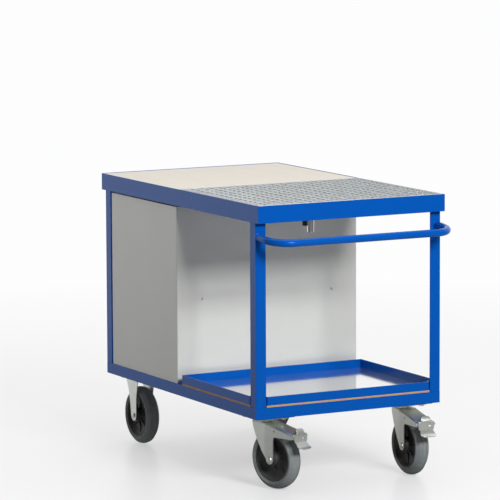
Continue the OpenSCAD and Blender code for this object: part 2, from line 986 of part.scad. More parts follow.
module swivel_fork(i) {
    top = crown_z;
    tongue_l = pedal_x + 4 + trail - 34;
    drop = crown_z - pedal_z - 8;
    half = fork_y + fork_t;
    color(galvanised)
        at_swivel(i)
            difference() {
                union() {
                    for (s = [-1, 1])
                        translate([trail, s * (fork_y + fork_t / 2), axle_z])
                            side_plate(-fork_t / 2, fork_t / 2)
                                swivel_leg_outline();
                    box([-34, 34], [-half, half], [top - fork_t, top]);
                    translate([34, 0, 0])
                        side_plate(-half, half)
                            polygon([
                                [0, top], [tongue_l - 16, top - drop * (tongue_l - 16) / tongue_l],
                                [tongue_l - 16, top - drop * (tongue_l - 16) / tongue_l - fork_t], [0, top - fork_t]
                            ]);
                    translate([0, 0, top])
                        cylinder(d = 60, h = 5 - skin);
                }
                translate([0, 0, top - fork_t - cut])
                    cylinder(d = axle_d + 2 * fit, h = fork_t + 5 + 2 * cut);
            }
}

module swivel_fork_back() { swivel_fork(0); }
module swivel_fork_front() { swivel_fork(1); }

module swivel_axle(i) {
    color(galvanised)
        at_swivel(i)
            translate([trail, 0, axle_z])
                axle_bolt();
}

module swivel_axle_back() { swivel_axle(0); }
module swivel_axle_front() { swivel_axle(1); }

// Pedal: a cross pin, a bracket with a release tab on top and a tread plate below
module brake_pedal(i) {
    half = fork_y - 1;
    color(galvanised)
        at_swivel(i)
            translate([trail + pedal_x, 0, pedal_z]) {
                cross_pin(pin_d, -half - fork_t - 5, half + fork_t + 5);
                for (s = [-1, 1])
                    translate([0, s * (half - 1.5), 0])
                        side_plate(-1.5, 1.5)
                            polygon([[-6, -8], [-6, 6], [2, 9], [8, 9], [8, -8]]);
                side_plate(-half, half)
                    polygon([[5.5, -20], [5.5, 10], [8.5, 10], [8.5, -20]]);
                side_plate(-18, 18)
                    polygon([[5.5, 6], [5.5, 20], [-1, 27], [-3, 25], [2.5, 18], [2.5, 6]]);
                side_plate(-half, half)
                    polygon([[5.5, -15], [8.5, -15], [33, -33], [35, -38], [32, -39], [5.5, -21]]);
            }
}

module brake_pedal_back() { brake_pedal(0); }
module brake_pedal_front() { brake_pedal(1); }

// Wheel parts are turned about their own axis, which is then laid along Y
module on_axle(x, y) {
    translate([x, y, axle_z])
        rotate([90, 0, 0])
            children();
}

module wheel_rim() {
    web_t = 8;
    ribs = 8;
    color(black) {
        difference() {
            union() {
                translate([0, 0, -hub_w / 2])
                    cylinder(r = hub_r, h = hub_w);
                translate([0, 0, -web_t / 2])
                    cylinder(r = rim_r - 4, h = web_t);
                for (k = [0 : ribs - 1])
                    rotate([0, 0, k * 360 / ribs])
                        translate([hub_r - 2, -2, -rim_w / 2 + 6])
                            cube([rim_r - hub_r - 4, 4, rim_w - 12]);
            }
            translate([0, 0, -hub_w / 2 - cut])
                cylinder(d = axle_d + 2 * fit, h = hub_w + 2 * cut);
        }
        difference() {
            translate([0, 0, -rim_w / 2])
                cylinder(r = rim_r, h = rim_w);
            translate([0, 0, -rim_w / 2 - cut])
                cylinder(r = rim_r - 6, h = rim_w + 2 * cut);
        }
    }
}

// Tyre with a crowned tread and shallow grooves round it
module wheel_tyre() {
    r = wheel_d / 2;
    w = tyre_w / 2;
    groove = 1.5;
    color(rubber)
        rotate_extrude($fn = 96)
            polygon([
                [rim_r, -w + 3], [r - 21, -w], [r - 13, -w + 3], [r - 6, -w + 7], [r - 2.5, -w + 11],
                [r - 2.5 - groove, -w + 12], [r - 1.5, -w + 13], [r - 0.2, -6],
                [r - groove, -5], [r, -4], [r, 4], [r - groove, 5], [r - 0.2, 6],
                [r - 1.5, w - 13], [r - 2.5 - groove, w - 12], [r - 2.5, w - 11],
                [r - 6, w - 7], [r - 13, w - 3], [r - 21, w], [rim_r, w - 3]
            ]);
}

module fixed_rim_back() { on_axle(fixed_x, caster_y[0]) wheel_rim(); }
module fixed_rim_front() { on_axle(fixed_x, caster_y[1]) wheel_rim(); }
module fixed_tyre_back() { on_axle(fixed_x, caster_y[0]) wheel_tyre(); }
module fixed_tyre_front() { on_axle(fixed_x, caster_y[1]) wheel_tyre(); }
module swivel_rim_back() { at_swivel(0) on_axle(trail, 0) wheel_rim(); }
module swivel_rim_front() { at_swivel(1) on_axle(trail, 0) wheel_rim(); }
module swivel_tyre_back() { at_swivel(0) on_axle(trail, 0) wheel_tyre(); }
module swivel_tyre_front() { at_swivel(1) on_axle(trail, 0) wheel_tyre(); }

top_frame();
divider_rail();
wood_panel();
grating();
drip_tray();
drain_valve();
drain_knob();
leg_cabinet_back();
leg_cabinet_front();
leg_handle_back();
leg_handle_front();
base_frame();
deck_board();
bay_rim();
bay_floor_sheet();
push_handle();
cabinet_wrap();
cabinet_top();
cabinet_floor();
cabinet_screws();
runner_rails();
drawer_a_box();
drawer_a_front();
drawer_a_runners();
drawer_b_box();
drawer_b_front();
drawer_b_runners();
drawer_c_box();
drawer_c_front();
drawer_c_runners();
drawer_d_box();
drawer_d_front();
drawer_d_runners();
lock_housing();
lock_barrel();
caster_bolts();
fixed_fork_back();
fixed_fork_front();
fixed_axles();
fixed_rim_back();
fixed_rim_front();
fixed_tyre_back();
fixed_tyre_front();
swivel_plate_back();
swivel_plate_front();
swivel_fork_back();
swivel_fork_front();
swivel_axle_back();
swivel_axle_front();
swivel_rim_back();
swivel_rim_front();
swivel_tyre_back();
swivel_tyre_front();
brake_pedal_back();
brake_pedal_front();
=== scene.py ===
"""Looks of the mobile workbench: metres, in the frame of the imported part."""

import json
import math

import bmesh
import bpy
from bpy.props import FloatProperty, FloatVectorProperty, IntProperty, PointerProperty
from mathutils import Matrix, Vector


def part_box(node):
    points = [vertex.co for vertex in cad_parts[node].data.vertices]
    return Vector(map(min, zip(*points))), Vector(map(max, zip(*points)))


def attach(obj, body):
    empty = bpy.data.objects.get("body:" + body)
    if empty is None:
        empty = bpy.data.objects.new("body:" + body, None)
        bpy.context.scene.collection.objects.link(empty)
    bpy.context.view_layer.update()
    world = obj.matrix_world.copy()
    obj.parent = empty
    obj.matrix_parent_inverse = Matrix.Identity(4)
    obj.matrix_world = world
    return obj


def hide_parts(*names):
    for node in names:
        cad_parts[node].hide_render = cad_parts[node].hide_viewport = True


bl_info = {
    "name": "Mobile workbench",
    "version": (1, 0, 0),
    "blender": (4, 5, 0),
    "location": "3D View > Sidebar > Workbench",
    "description": "Dresses the packed workbench with detailed pieces and finishes",
    "category": "Object",
}

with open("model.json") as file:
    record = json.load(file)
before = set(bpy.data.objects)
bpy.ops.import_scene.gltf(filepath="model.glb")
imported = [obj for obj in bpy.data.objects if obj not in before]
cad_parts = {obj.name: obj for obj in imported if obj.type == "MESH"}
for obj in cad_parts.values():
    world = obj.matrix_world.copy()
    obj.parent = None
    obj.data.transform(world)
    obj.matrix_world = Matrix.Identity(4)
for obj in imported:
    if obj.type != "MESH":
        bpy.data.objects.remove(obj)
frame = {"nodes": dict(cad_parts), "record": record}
NODES = frame["nodes"]
JOINTS = {j["name"]: j for j in frame["record"]["behaviour"]["joints"]}
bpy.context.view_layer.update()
SIDES = ("back", "front")
DRAWERS = "abcd"
FORK_HALF = 0.033
FORK_SHEET = 0.003
BOLT_INSET_X = 0.0175
BOLT_INSET_Y = 0.012
RIM_GAP = 0.0009
HANDLE_Z = 0.838


# ---------------------------------------------------------------- shader maths
class Value:
    """An output socket that plain Python arithmetic can be written with."""

    def __init__(self, finish, out):
        self.finish, self.out = finish, out

    def _math(self, operation, first, second):
        return self.finish.node("ShaderNodeMath", {"operation": operation}, {0: first, 1: second})

    def __add__(self, other):
        return self._math("ADD", self, other)

    def __radd__(self, other):
        return self._math("ADD", other, self)

    def __sub__(self, other):
        return self._math("SUBTRACT", self, other)

    def __rsub__(self, other):
        return self._math("SUBTRACT", other, self)

    def __mul__(self, other):
        return self._math("MULTIPLY", self, other)

    def __rmul__(self, other):
        return self._math("MULTIPLY", other, self)

    def above(self, edge):
        return self._math("GREATER_THAN", self, edge)


class Finish:
    """A procedural material with one Principled shader."""

    def __init__(self, name, **fixed):
        self.material = bpy.data.materials.new(name)
        self.material.use_nodes = True
        self.tree = self.material.node_tree
        self.shader = self.tree.nodes["Principled BSDF"]
        for socket, value in fixed.items():
            self.shader.inputs[socket.replace("_", " ")].default_value = value

    def node(self, kind, settings=None, sockets=None, out=0):
        """Adds a node: its settings first, then the values or links of its sockets."""
        made = self.tree.nodes.new(kind)
        for key, value in (settings or {}).items():
            if key == "stops":
                ramp = made.color_ramp
                while len(ramp.elements) < len(value):
                    ramp.elements.new(0.5)
                for element, (place, colour) in zip(ramp.elements, value):
                    element.position, element.color = place, (*colour, 1)
            else:
                setattr(made, key, value)
        for key, value in (sockets or {}).items():
            if isinstance(value, Value):
                self.tree.links.new(value.out, made.inputs[key])
            else:
                made.inputs[key].default_value = value
        return Value(self, made.outputs[out])

    def place(self, stretch=(1, 1, 1)):
        """The surface's place on the piece, in metres, stretched along each axis."""
        coords = self.node("ShaderNodeTexCoord", out="Object")
        return self.node("ShaderNodeVectorMath", {"operation": "MULTIPLY"}, {0: coords, 1: stretch})

    def part_of_place(self, axis):
        return self.node("ShaderNodeSeparateXYZ", sockets={0: self.place()}, out=axis)

    def noise(self, size, detail=2.0, roughness=0.5, stretch=(1, 1, 1)):
        """Cloudy noise from 0 to 1 whose lumps are size metres across."""
        return self.node(
            "ShaderNodeTexNoise",
            None,
            {"Vector": self.place(stretch), "Scale": 1 / size, "Detail": detail, "Roughness": roughness},
        )

    def cells(self, size, feature="F1", out="Color"):
        return self.node(
            "ShaderNodeTexVoronoi", {"feature": feature}, {"Vector": self.place(), "Scale": 1 / size}, out
        )

    def grey(self, colour):
        return self.node("ShaderNodeRGBToBW", None, {0: colour})

    def ramp(self, factor, *stops):
        return self.node("ShaderNodeValToRGB", {"stops": stops}, {0: factor})

    def mix(self, factor, first, second):
        made = self.tree.nodes.new("ShaderNodeMix")
        made.data_type = "RGBA"
        for index, value in ((0, factor), (6, first), (7, second)):
            if isinstance(value, Value):
                self.tree.links.new(value.out, made.inputs[index])
            else:
                made.inputs[index].default_value = value if index == 0 else (*value, 1)
        return Value(self, made.outputs[2])

    def feed(self, socket, value):
        self.tree.links.new(value.out, self.shader.inputs[socket])

    def bump(self, height, depth, strength=1.0):
        self.feed(
            "Normal",
            self.node("ShaderNodeBump", None, {"Height": height, "Distance": depth, "Strength": strength}),
        )


# ---------------------------------------------------------------- finishes
def shade(colour, by):
    return tuple(min(1, c * by) for c in colour)


def powder_coat(name, colour, rough, peel=0.00006, gloss=0.5, tint=(1, 1, 1, 1)):
    """Powder coat: a slight orange peel, cloudy depth and a few dull rubs."""
    f = Finish(name, Specular_IOR_Level=gloss, Specular_Tint=tint)
    cloud = f.noise(0.22, 3)
    rub = f.noise(0.012, 4, 0.7, (1, 1, 0.25))
    worn = f.ramp(rub, (0.62, (0, 0, 0)), (0.78, (1, 1, 1)))
    tone = f.mix(cloud, shade(colour, 0.93), shade(colour, 1.07))
    f.feed("Base Color", f.mix(f.grey(worn) * 0.15, tone, shade(colour, 1.25)))
    f.feed("Roughness", rough + cloud * 0.06 + f.grey(worn) * 0.12)
    f.bump(f.noise(0.0022, 2) + f.noise(0.0007, 1) * 0.35, peel)
    return f.material


def blue_coat():
    tone = tuple(bpy.context.scene.workbench_colours.blue)
    return powder_coat("Blue_powder_coat", tone, 0.20, gloss=0.4, tint=(0.15, 0.45, 1.0, 1))


def grey_coat():
    tone = tuple(bpy.context.scene.workbench_colours.grey)
    return powder_coat("Grey_powder_coat", tone, 0.36, 0.00004, gloss=0.9)


def zinc(name="Zinc_plating", grain=0.006, rough=0.26, tone=(0.80, 0.83, 0.745)):
    """Zinc on steel: crystals, cloudy passivation and fine rolling marks."""
    f = Finish(name, Metallic=0.9)
    crystal = f.grey(f.cells(grain))
    cloud = f.noise(0.03, 4)
    base = f.mix(crystal, shade(tone, 0.93), shade(tone, 1.05))
    f.feed("Base Color", f.mix(cloud * 0.35, base, (0.66, 0.70, 0.78)))
    f.feed("Roughness", rough + crystal * 0.06 + cloud * 0.08)
    f.bump(f.noise(0.0012, 3) + crystal * 0.05, 0.00001)
    return f.material


def galvanising():
    return zinc("Hot_dip_galvanising", 0.009, 0.36, (0.62, 0.64, 0.635))


def bright_sheet():
    """Bright rolled sheet with hairline marks along the bench and soft handling smears."""
    f = Finish("Bright_steel_sheet", Metallic=0.94)
    lines = f.noise(0.004, 4, 0.6, (0.03, 1, 1))
    smear = f.noise(0.09, 3)
    f.feed("Base Color", f.mix(lines, (0.78, 0.80, 0.84), (0.90, 0.91, 0.94)))
    f.feed("Roughness", 0.045 + lines * 0.05 + smear * 0.05)
    f.bump(lines, 0.00001)
    return f.material


def turned_steel():
    f = Finish("Turned_nickel", Metallic=1.0)
    rings = f.noise(0.0012, 2, 0.5, (0.1, 0.1, 1))
    f.feed("Base Color", f.mix(rings, (0.80, 0.80, 0.81), (0.93, 0.93, 0.94)))
    f.feed("Roughness", 0.11 + rings * 0.08)
    f.bump(rings, 0.00001)
    return f.material


def decor_board():
    """Pale matt decor on the worktop: long faint grain and fine pores."""
    f = Finish("Pale_decor_board", Specular_IOR_Level=0.4)
    tone = tuple(bpy.context.scene.workbench_colours.wood)
    grain = f.noise(0.012, 5, 0.6, (0.06, 1, 1))
    pores = f.noise(0.0016, 2, 0.5, (0.08, 1, 1))
    dark = f.ramp(pores, (0.56, (0, 0, 0)), (0.72, (1, 1, 1)))
    base = f.mix(grain, shade(tone, 0.91), shade(tone, 1.07))
    f.feed("Base Color", f.mix(f.grey(dark) * 0.20, base, shade(tone, 0.72)))
    f.feed("Roughness", 0.46 + grain * 0.14)
    f.bump(grain + pores * 0.5, 0.00005)
    return f.material


def raw_board():
    """Plywood under the floor sheet: three plies at its edge and a birch grain on its faces."""
    f = Finish("Raw_plywood")
    height = f.part_of_place(2)
    lo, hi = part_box("deck_board")
    middle = (height.above(lo[2] + 0.0021)) - (height.above(hi[2] - 0.0021))
    fibre = f.noise(0.004, 5, 0.65, (0.25, 0.25, 2.2))
    light = f.mix(fibre, (0.48, 0.28, 0.12), (0.64, 0.41, 0.20))
    dark = f.mix(fibre, (0.34, 0.18, 0.07), (0.50, 0.30, 0.14))
    f.feed("Base Color", f.mix(middle, light, dark))
    f.feed("Roughness", 0.62 + fibre * 0.2)
    f.bump(fibre, 0.00012)
    return f.material


def moulded(name, tone, rough):
    """Moulded plastic: a fine spark-eroded texture and slightly shiny gate marks."""
    f = Finish(name)
    fine = f.noise(0.0009, 3)
    cloud = f.noise(0.02, 3)
    f.feed("Base Color", f.mix(cloud, shade(tone, 0.85), shade(tone, 1.25)))
    f.feed("Roughness", rough + fine * 0.16)
    f.bump(fine, 0.00008)
    return f.material


def tyre_rubber():
    """Grey solid rubber: dusty bloom in the cloud, fine mould texture."""
    f = Finish("Grey_solid_rubber", Specular_IOR_Level=0.42)
    tone = tuple(bpy.context.scene.workbench_colours.rubber)
    cloud = f.noise(0.018, 4)
    fine = f.noise(0.0011, 3)
    f.feed("Base Color", f.mix(cloud, shade(tone, 0.80), shade(tone, 1.22)))
    f.feed("Roughness", 0.50 + cloud * 0.16 + fine * 0.08)
    f.bump(fine + cloud * 0.3, 0.00010)
    return f.material


FINISHES = {}


def finish_for(slot):
    """The material of one of the record's slots, made once."""
    makers = {
        "blue_paint": blue_coat,
        "grey_paint": grey_coat,
        "galvanised": zinc,
        "bright_steel": bright_sheet,
        "worktop_wood": decor_board,
        "board_wood": raw_board,
        "black_knob": lambda: moulded("Black_knob_plastic", (0.022, 0.022, 0.025), 0.34),
        "black_plastic": lambda: moulded("Black_rim_plastic", (0.052, 0.052, 0.052), 0.40),
        "rubber_tyre": tyre_rubber,
        "galvanising": galvanising,
        "turned_steel": turned_steel,
    }
    if slot not in FINISHES:
        FINISHES[slot] = makers[slot]()
    return FINISHES[slot]


SLOT_OF = {part["node"]: part["material_slot"] for part in frame["record"]["subparts"]}


# ---------------------------------------------------------------- mesh work
def body_of_node(node):
    return next(b for b, members in frame["record"]["behaviour"]["bodies"].items() if node in members)


def piece(name, mesh, nodes, look=None, body=None, slot=None, sharp=35):
    """Turns a bmesh into a shown piece that stands for CAD nodes, or joins a body as an extra."""
    bmesh.ops.recalc_face_normals(mesh, faces=mesh.faces)
    data = bpy.data.meshes.new(name)
    mesh.to_mesh(data)
    mesh.free()
    for face in data.polygons:
        face.use_smooth = True
    data.set_sharp_from_angle(angle=math.radians(sharp))
    made = bpy.data.objects.new(name, data)
    bpy.context.scene.collection.objects.link(made)
    weigh_normals(made)
    data = made.data
    slot = slot or SLOT_OF[nodes[0]]
    data.materials.append(finish_for(look or slot))
    if nodes:
        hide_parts(*nodes)
    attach(made, body or body_of_node(nodes[0]))
    return made


def weigh_normals(made):
    """Keeps large flat faces flat in the light beside their rounded edges."""
    weighted = made.modifiers.new("weighted", "WEIGHTED_NORMAL")
    weighted.keep_sharp, weighted.weight = True, 90
    evaluated = made.evaluated_get(bpy.context.evaluated_depsgraph_get())
    data, first = bpy.data.meshes.new_from_object(evaluated), made.data
    made.modifiers.clear()
    made.data = data
    name = first.name
    bpy.data.meshes.remove(first)
    data.name = name


def round_edges(mesh, width, angle=30, segments=2):
    """Rounds the sharp edges of a closed mesh with a small bevel."""
    limit = math.radians(angle)
    picked = [e for e in mesh.edges if len(e.link_faces) == 2 and e.calc_face_angle(0) > limit]
    bmesh.ops.bevel(
        mesh, geom=picked, offset=width, segments=segments, profile=0.5, affect="EDGES", clamp_overlap=True
    )
    return mesh


def cad_mesh(node):
    """The CAD node's mesh with its flat faces joined again."""
    mesh = bmesh.new()
    mesh.from_mesh(NODES[node].data)
    bmesh.ops.remove_doubles(mesh, verts=mesh.verts, dist=0.00001)
    bmesh.ops.dissolve_limit(
        mesh, angle_limit=math.radians(0.5), verts=mesh.verts, edges=mesh.edges, delimit={"NORMAL"}
    )
    return mesh


def rounded_copy(node, width, segments=2, look=None, angle=30):
    """The CAD node's own shape with rounded edges."""
    return piece(f"{node}.rounded", round_edges(cad_mesh(node), width, angle, segments), [node], look)


def box(mesh, lo, hi, width=0.0, segments=2):
    """A box between two corners, its edges rounded by width."""
    part = bmesh.new()
    bmesh.ops.create_cube(part, size=1)
    size = Vector(hi) - Vector(lo)
    bmesh.ops.transform(
        part,
        matrix=Matrix.Translation((Vector(lo) + Vector(hi)) / 2) @ Matrix.Diagonal((*size, 1)),
        verts=part.verts,
    )
    if width:
        round_edges(part, width, segments=segments)
    join(mesh, part)


def join(mesh, part, matrix=None):
    """Adds part to mesh, moved by matrix."""
    if matrix is not None:
        bmesh.ops.transform(part, matrix=matrix, verts=part.verts)
    data = bpy.data.meshes.new("joining")
    part.to_mesh(data)
    part.free()
    mesh.from_mesh(data)
    bpy.data.meshes.remove(data)


def lathe(profile, steps=64):
    """Turns a closed profile of (radius, height) points round Z. A radius of 0 ends at the axis."""
    mesh = bmesh.new()
    rings = []
    for radius, height in profile:
        if radius < 1e-7:
            rings.append([mesh.verts.new((0, 0, height))])
            continue
        rings.append(
            [
                mesh.verts.new(
                    (radius * math.cos(k * math.tau / steps), radius * math.sin(k * math.tau / steps), height)
                )
                for k in range(steps)
            ]
        )
    for low, high in zip(rings, rings[1:] + rings[:1]):
        for k in range(steps):
            n = (k + 1) % steps
            corners = [low[k % len(low)], low[n % len(low)], high[n % len(high)], high[k % len(high)]]
            corners = list(dict.fromkeys(corners))
            if len(corners) > 2:
                mesh.faces.new(corners)
    return mesh


def prism(outline, low, high, width=0.0, segments=2):
    """A plate with the given outline in X and Y, from low to high in Z."""
    mesh = bmesh.new()
    face = mesh.faces.new([mesh.verts.new((x, y, low)) for x, y in outline])
    grown = bmesh.ops.extrude_face_region(mesh, geom=[face])["geom"]
    bmesh.ops.translate(
        mesh, vec=(0, 0, high - low), verts=[v for v in grown if isinstance(v, bmesh.types.BMVert)]
    )
    bmesh.ops.recalc_face_normals(mesh, faces=mesh.faces)
    if width:
        round_edges(mesh, width, 50, segments)
    return mesh


def tube(path, radius, sides=24, closed_ends=True):
    """A round bar along a smooth path, its rings kept from twisting."""
    mesh = bmesh.new()
    points = [Vector(p) for p in path]
    rings, normal = [], None
    for i, point in enumerate(points):
        along = (points[min(i + 1, len(points) - 1)] - points[max(i - 1, 0)]).normalized()
        if normal is None:
            normal = along.orthogonal().normalized()
        normal = (normal - along * normal.dot(along)).normalized()
        across = along.cross(normal)
        r = radius[i] if isinstance(radius, list) else radius
        angles = [k * math.tau / sides for k in range(sides)]
        spokes = [math.cos(a) * normal + math.sin(a) * across for a in angles]
        rings.append([mesh.verts.new(point + r * spoke) for spoke in spokes])
    for low, high in zip(rings, rings[1:]):
        for k in range(sides):
            n = (k + 1) % sides
            mesh.faces.new([low[k], low[n], high[n], high[k]])
    if closed_ends:
        mesh.faces.new(rings[0][::-1])
        mesh.faces.new(rings[-1])
    return mesh


def drill(mesh, cutter):
    """Takes the closed cutter out of the closed mesh."""
    objects = []
    for part in (mesh, cutter):
        bmesh.ops.recalc_face_normals(part, faces=part.faces)
        data = bpy.data.meshes.new("drilling")
        part.to_mesh(data)
        part.free()
        objects.append(bpy.data.objects.new("drilling", data))
        bpy.context.scene.collection.objects.link(objects[-1])
    cut = objects[0].modifiers.new("cut", "BOOLEAN")
    cut.operation, cut.object, cut.solver = "DIFFERENCE", objects[1], "EXACT"
    made = bmesh.new()
    evaluated = objects[0].evaluated_get(bpy.context.evaluated_depsgraph_get())
    made.from_mesh(evaluated.to_mesh())
    evaluated.to_mesh_clear()
    for item in objects:
        data = item.data
        bpy.data.objects.remove(item)
        bpy.data.meshes.remove(data)
    return made


def rounded_outline(w, h, r, steps=6):
    """The outline of a rectangle w by h with corners of radius r, round the origin."""
    points = []
    for quarter, (sx, sy) in enumerate(((1, 1), (-1, 1), (-1, -1), (1, -1))):
        for k in range(steps + 1):
            a = math.radians(90 * quarter + 90 * k / steps)
            points.append((sx * (w / 2 - r) + r * math.cos(a), sy * (h / 2 - r) + r * math.sin(a)))
    return points


def hexagon(across, height, chamfer=0.0008):
    """A hexagon head or nut with chamfered corners, standing on Z 0."""
    mesh = prism(
        [(across / 2 / math.cos(math.pi / 6) * math.cos(k * math.pi / 3),
          across / 2 / math.cos(math.pi / 6) * math.sin(k * math.pi / 3)) for k in range(6)],
        0, height,
    )  # fmt: skip
    top = [e for e in mesh.edges if all(abs(v.co.z - height) < 1e-6 for v in e.verts)]
    bmesh.ops.bevel(mesh, geom=top, offset=chamfer, segments=2, profile=0.6, affect="EDGES")
    return mesh


LAY_ALONG_Y = Matrix.Rotation(math.radians(-90), 4, "X")
STAND_ALONG_Y = Matrix.Rotation(math.radians(90), 4, "X")


def joint_frame(name):
    """Places a shape drawn round a wheel's axle: Y along the axle, Z up."""
    joint = JOINTS[name]
    y = Vector(joint["axis"]).normalized()
    z = Vector((0, 0, 1))
    x = y.cross(z)
    turn = Matrix((x, y, z)).transposed().to_4x4()
    return Matrix.Translation(joint["pos_m"]) @ turn


def weld(mesh, start, end, size=0.004):
    """A fillet weld bead with its ripples, from start to end."""
    start, end = Vector(start), Vector(end)
    length = (end - start).length
    steps = max(6, int(length / 0.0016))
    path, radii = [], []
    for k in range(steps + 1):
        t = k / steps
        taper = min(1, 4 * t * length / size, 4 * (1 - t) * length / size)
        path.append(start.lerp(end, t))
        radii.append(size * (0.42 + 0.42 * taper) * (1 - 0.12 * (k % 2)))
    join(mesh, tube(path, radii, 8))


# ---------------------------------------------------------------- settings
class WorkbenchColours(bpy.types.PropertyGroup):
    """Colours of the painted, wooden and rubber parts."""

    blue: FloatVectorProperty(
        name="Frame blue",
        description="Powder coat of the frame",
        subtype="COLOR",
        default=(0.001, 0.085, 0.42),
    )
    grey: FloatVectorProperty(
        name="Cabinet grey",
        description="Powder coat of the cabinet",
        subtype="COLOR",
        default=(0.705, 0.71, 0.675),
    )
    wood: FloatVectorProperty(
        name="Worktop", description="Decor of the wood panel", subtype="COLOR", default=(0.74, 0.69, 0.61)
    )
    rubber: FloatVectorProperty(
        name="Tyres", description="Solid rubber of the tyres", subtype="COLOR", default=(0.25, 0.272, 0.278)
    )


class WorkbenchSizes(bpy.types.PropertyGroup):
    """Sizes of the small shapes that the finish adds."""

    frame_edge: FloatProperty(
        name="Frame edge", description="Rounding of the frame's steel edges",
        default=0.0009, unit="LENGTH", min=0.0003, max=0.0015,
    )  # fmt: skip
    sheet_edge: FloatProperty(
        name="Sheet edge", description="Rounding of the thin sheet's edges",
        default=0.0004, unit="LENGTH", min=0.0002, max=0.0006,
    )  # fmt: skip
    weld_size: FloatProperty(
        name="Weld size", description="Leg length of the weld beads",
        default=0.004, unit="LENGTH", min=0.002, max=0.006,
    )  # fmt: skip
    rim_ribs: IntProperty(
        name="Rim ribs", description="Ribs on each side of a wheel rim", default=8, min=5, max=12
    )
    tread_grooves: IntProperty(
        name="Tread grooves", description="Fine grooves on each half of a tread", default=3, min=1, max=5
    )
    spring_turns: IntProperty(
        name="Spring turns", description="Turns of a pedal's spring", default=4, min=2, max=8
    )


class WorkbenchLight(bpy.types.PropertyGroup):
    """Strength of the studio's lights."""

    key: FloatProperty(
        name="Key", description="Power of the light beyond the handle", default=305.0, unit="POWER"
    )
    top: FloatProperty(name="Top", description="Power of the light overhead", default=56.0, unit="POWER")
    surround: FloatProperty(
        name="Surround", description="Brightness of the white surround", default=1.0, min=0.0
    )
    floor: FloatVectorProperty(
        name="Floor", description="Colour of the studio floor", subtype="COLOR", default=(0.80, 0.80, 0.81)
    )


# ---------------------------------------------------------------- the top
class WORKBENCH_OT_frame(bpy.types.Operator):
    """Blue steel frame: band, divider, legs, base and rim with rounded edges"""

    bl_idname = "workbench.frame"
    bl_label = "Steel frame"

    def execute(self, context):
        edge = context.scene.workbench_sizes.frame_edge
        legs = [f"leg_{end}_{side}" for end in ("cabinet", "handle") for side in SIDES]
        for node in ["divider_rail", "base_frame", "bay_rim", *legs]:
            rounded_copy(node, edge)
        self.band(edge)
        return {"FINISHED"}

    def band(self, edge):
        """The top frame's band, its rim a little below the worktops that it holds."""
        mesh = cad_mesh("top_frame")
        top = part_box("top_frame")[1][2]
        for vert in mesh.verts:
            if vert.co.z > top - 0.0001:
                vert.co.z -= RIM_GAP
        piece("top_frame.rounded", round_edges(mesh, edge), ["top_frame"])


class WORKBENCH_OT_welds(bpy.types.Operator):
    """Weld beads where the legs meet the top frame, the base and the handle"""

    bl_idname = "workbench.welds"
    bl_label = "Welds"

    def execute(self, context):
        size = context.scene.workbench_sizes.weld_size
        mesh = bmesh.new()
        for end in ("cabinet", "handle"):
            for side in SIDES:
                lo, hi = (Vector(v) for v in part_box(f"leg_{end}_{side}"))
                out_x = lo.x if end == "cabinet" else hi.x
                out_y = lo.y if side == "back" else hi.y
                in_x, in_y = lo.x + hi.x - out_x, lo.y + hi.y - out_y
                sx, sy = (1 if in_x > out_x else -1), (1 if in_y > out_y else -1)
                for z in (lo.z, hi.z):
                    seam_x, seam_y = out_x + sx * 0.004, out_y + sy * 0.004
                    weld(mesh, (out_x + sx * 0.006, seam_y, z), (in_x, seam_y, z), size)
                    weld(mesh, (seam_x, out_y + sy * 0.006, z), (seam_x, in_y, z), size)
        lo, hi = (Vector(v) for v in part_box("push_handle"))
        joint_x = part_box("leg_handle_back")[1][0]
        for s in (-1, 1):
            centre = Vector((joint_x, s * (hi.y - 0.0125), HANDLE_Z))
            ring = [
                centre + 0.0128 * Vector((0.06, math.cos(a), math.sin(a)))
                for a in (k * math.tau / 48 for k in range(49))
            ]
            radii = [size * (0.62 - 0.10 * (k % 2)) for k in range(49)]
            join(mesh, tube(ring, radii, 8, closed_ends=False))
        bmesh.ops.remove_doubles(mesh, verts=mesh.verts, dist=0.00002)
        piece("frame_welds", mesh, [], body="root", slot="blue_paint")
        return {"FINISHED"}


class WORKBENCH_OT_handle(bpy.types.Operator):
    """Push handle: one bent tube"""

    bl_idname = "workbench.handle"
    bl_label = "Push handle"

    def execute(self, context):
        path, radius = cad_handle_path()
        piece("push_handle.tube", tube(path, radius, 40), ["push_handle"])
        return {"FINISHED"}


def cad_handle_path():
    """The handle's middle line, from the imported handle's own box."""
    lo, hi = (Vector(v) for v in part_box("push_handle"))
    radius, bend, tilt = 0.0125, 0.07, math.radians(5)
    out = Vector((math.cos(tilt), 0, -math.sin(tilt)))
    tube_y = hi.y - radius
    root = Vector((lo.x, 0, HANDLE_Z))
    run = (hi.x - radius - lo.x) / math.cos(tilt)
    path = []
    for s in (1, -1):
        leg = [root + out * t + Vector((0, s * tube_y, 0)) for t in (0.0, 0.01, 0.02, run - bend)]
        middle = root + out * (run - bend) + Vector((0, s * (tube_y - bend), 0))
        arc = [
            middle + out * (bend * math.sin(a)) + Vector((0, s * bend * math.cos(a), 0))
            for a in (k * math.pi / 2 / 20 for k in range(1, 21))
        ]
        path += leg + arc if s == 1 else (leg + arc)[::-1]
    return path, radius


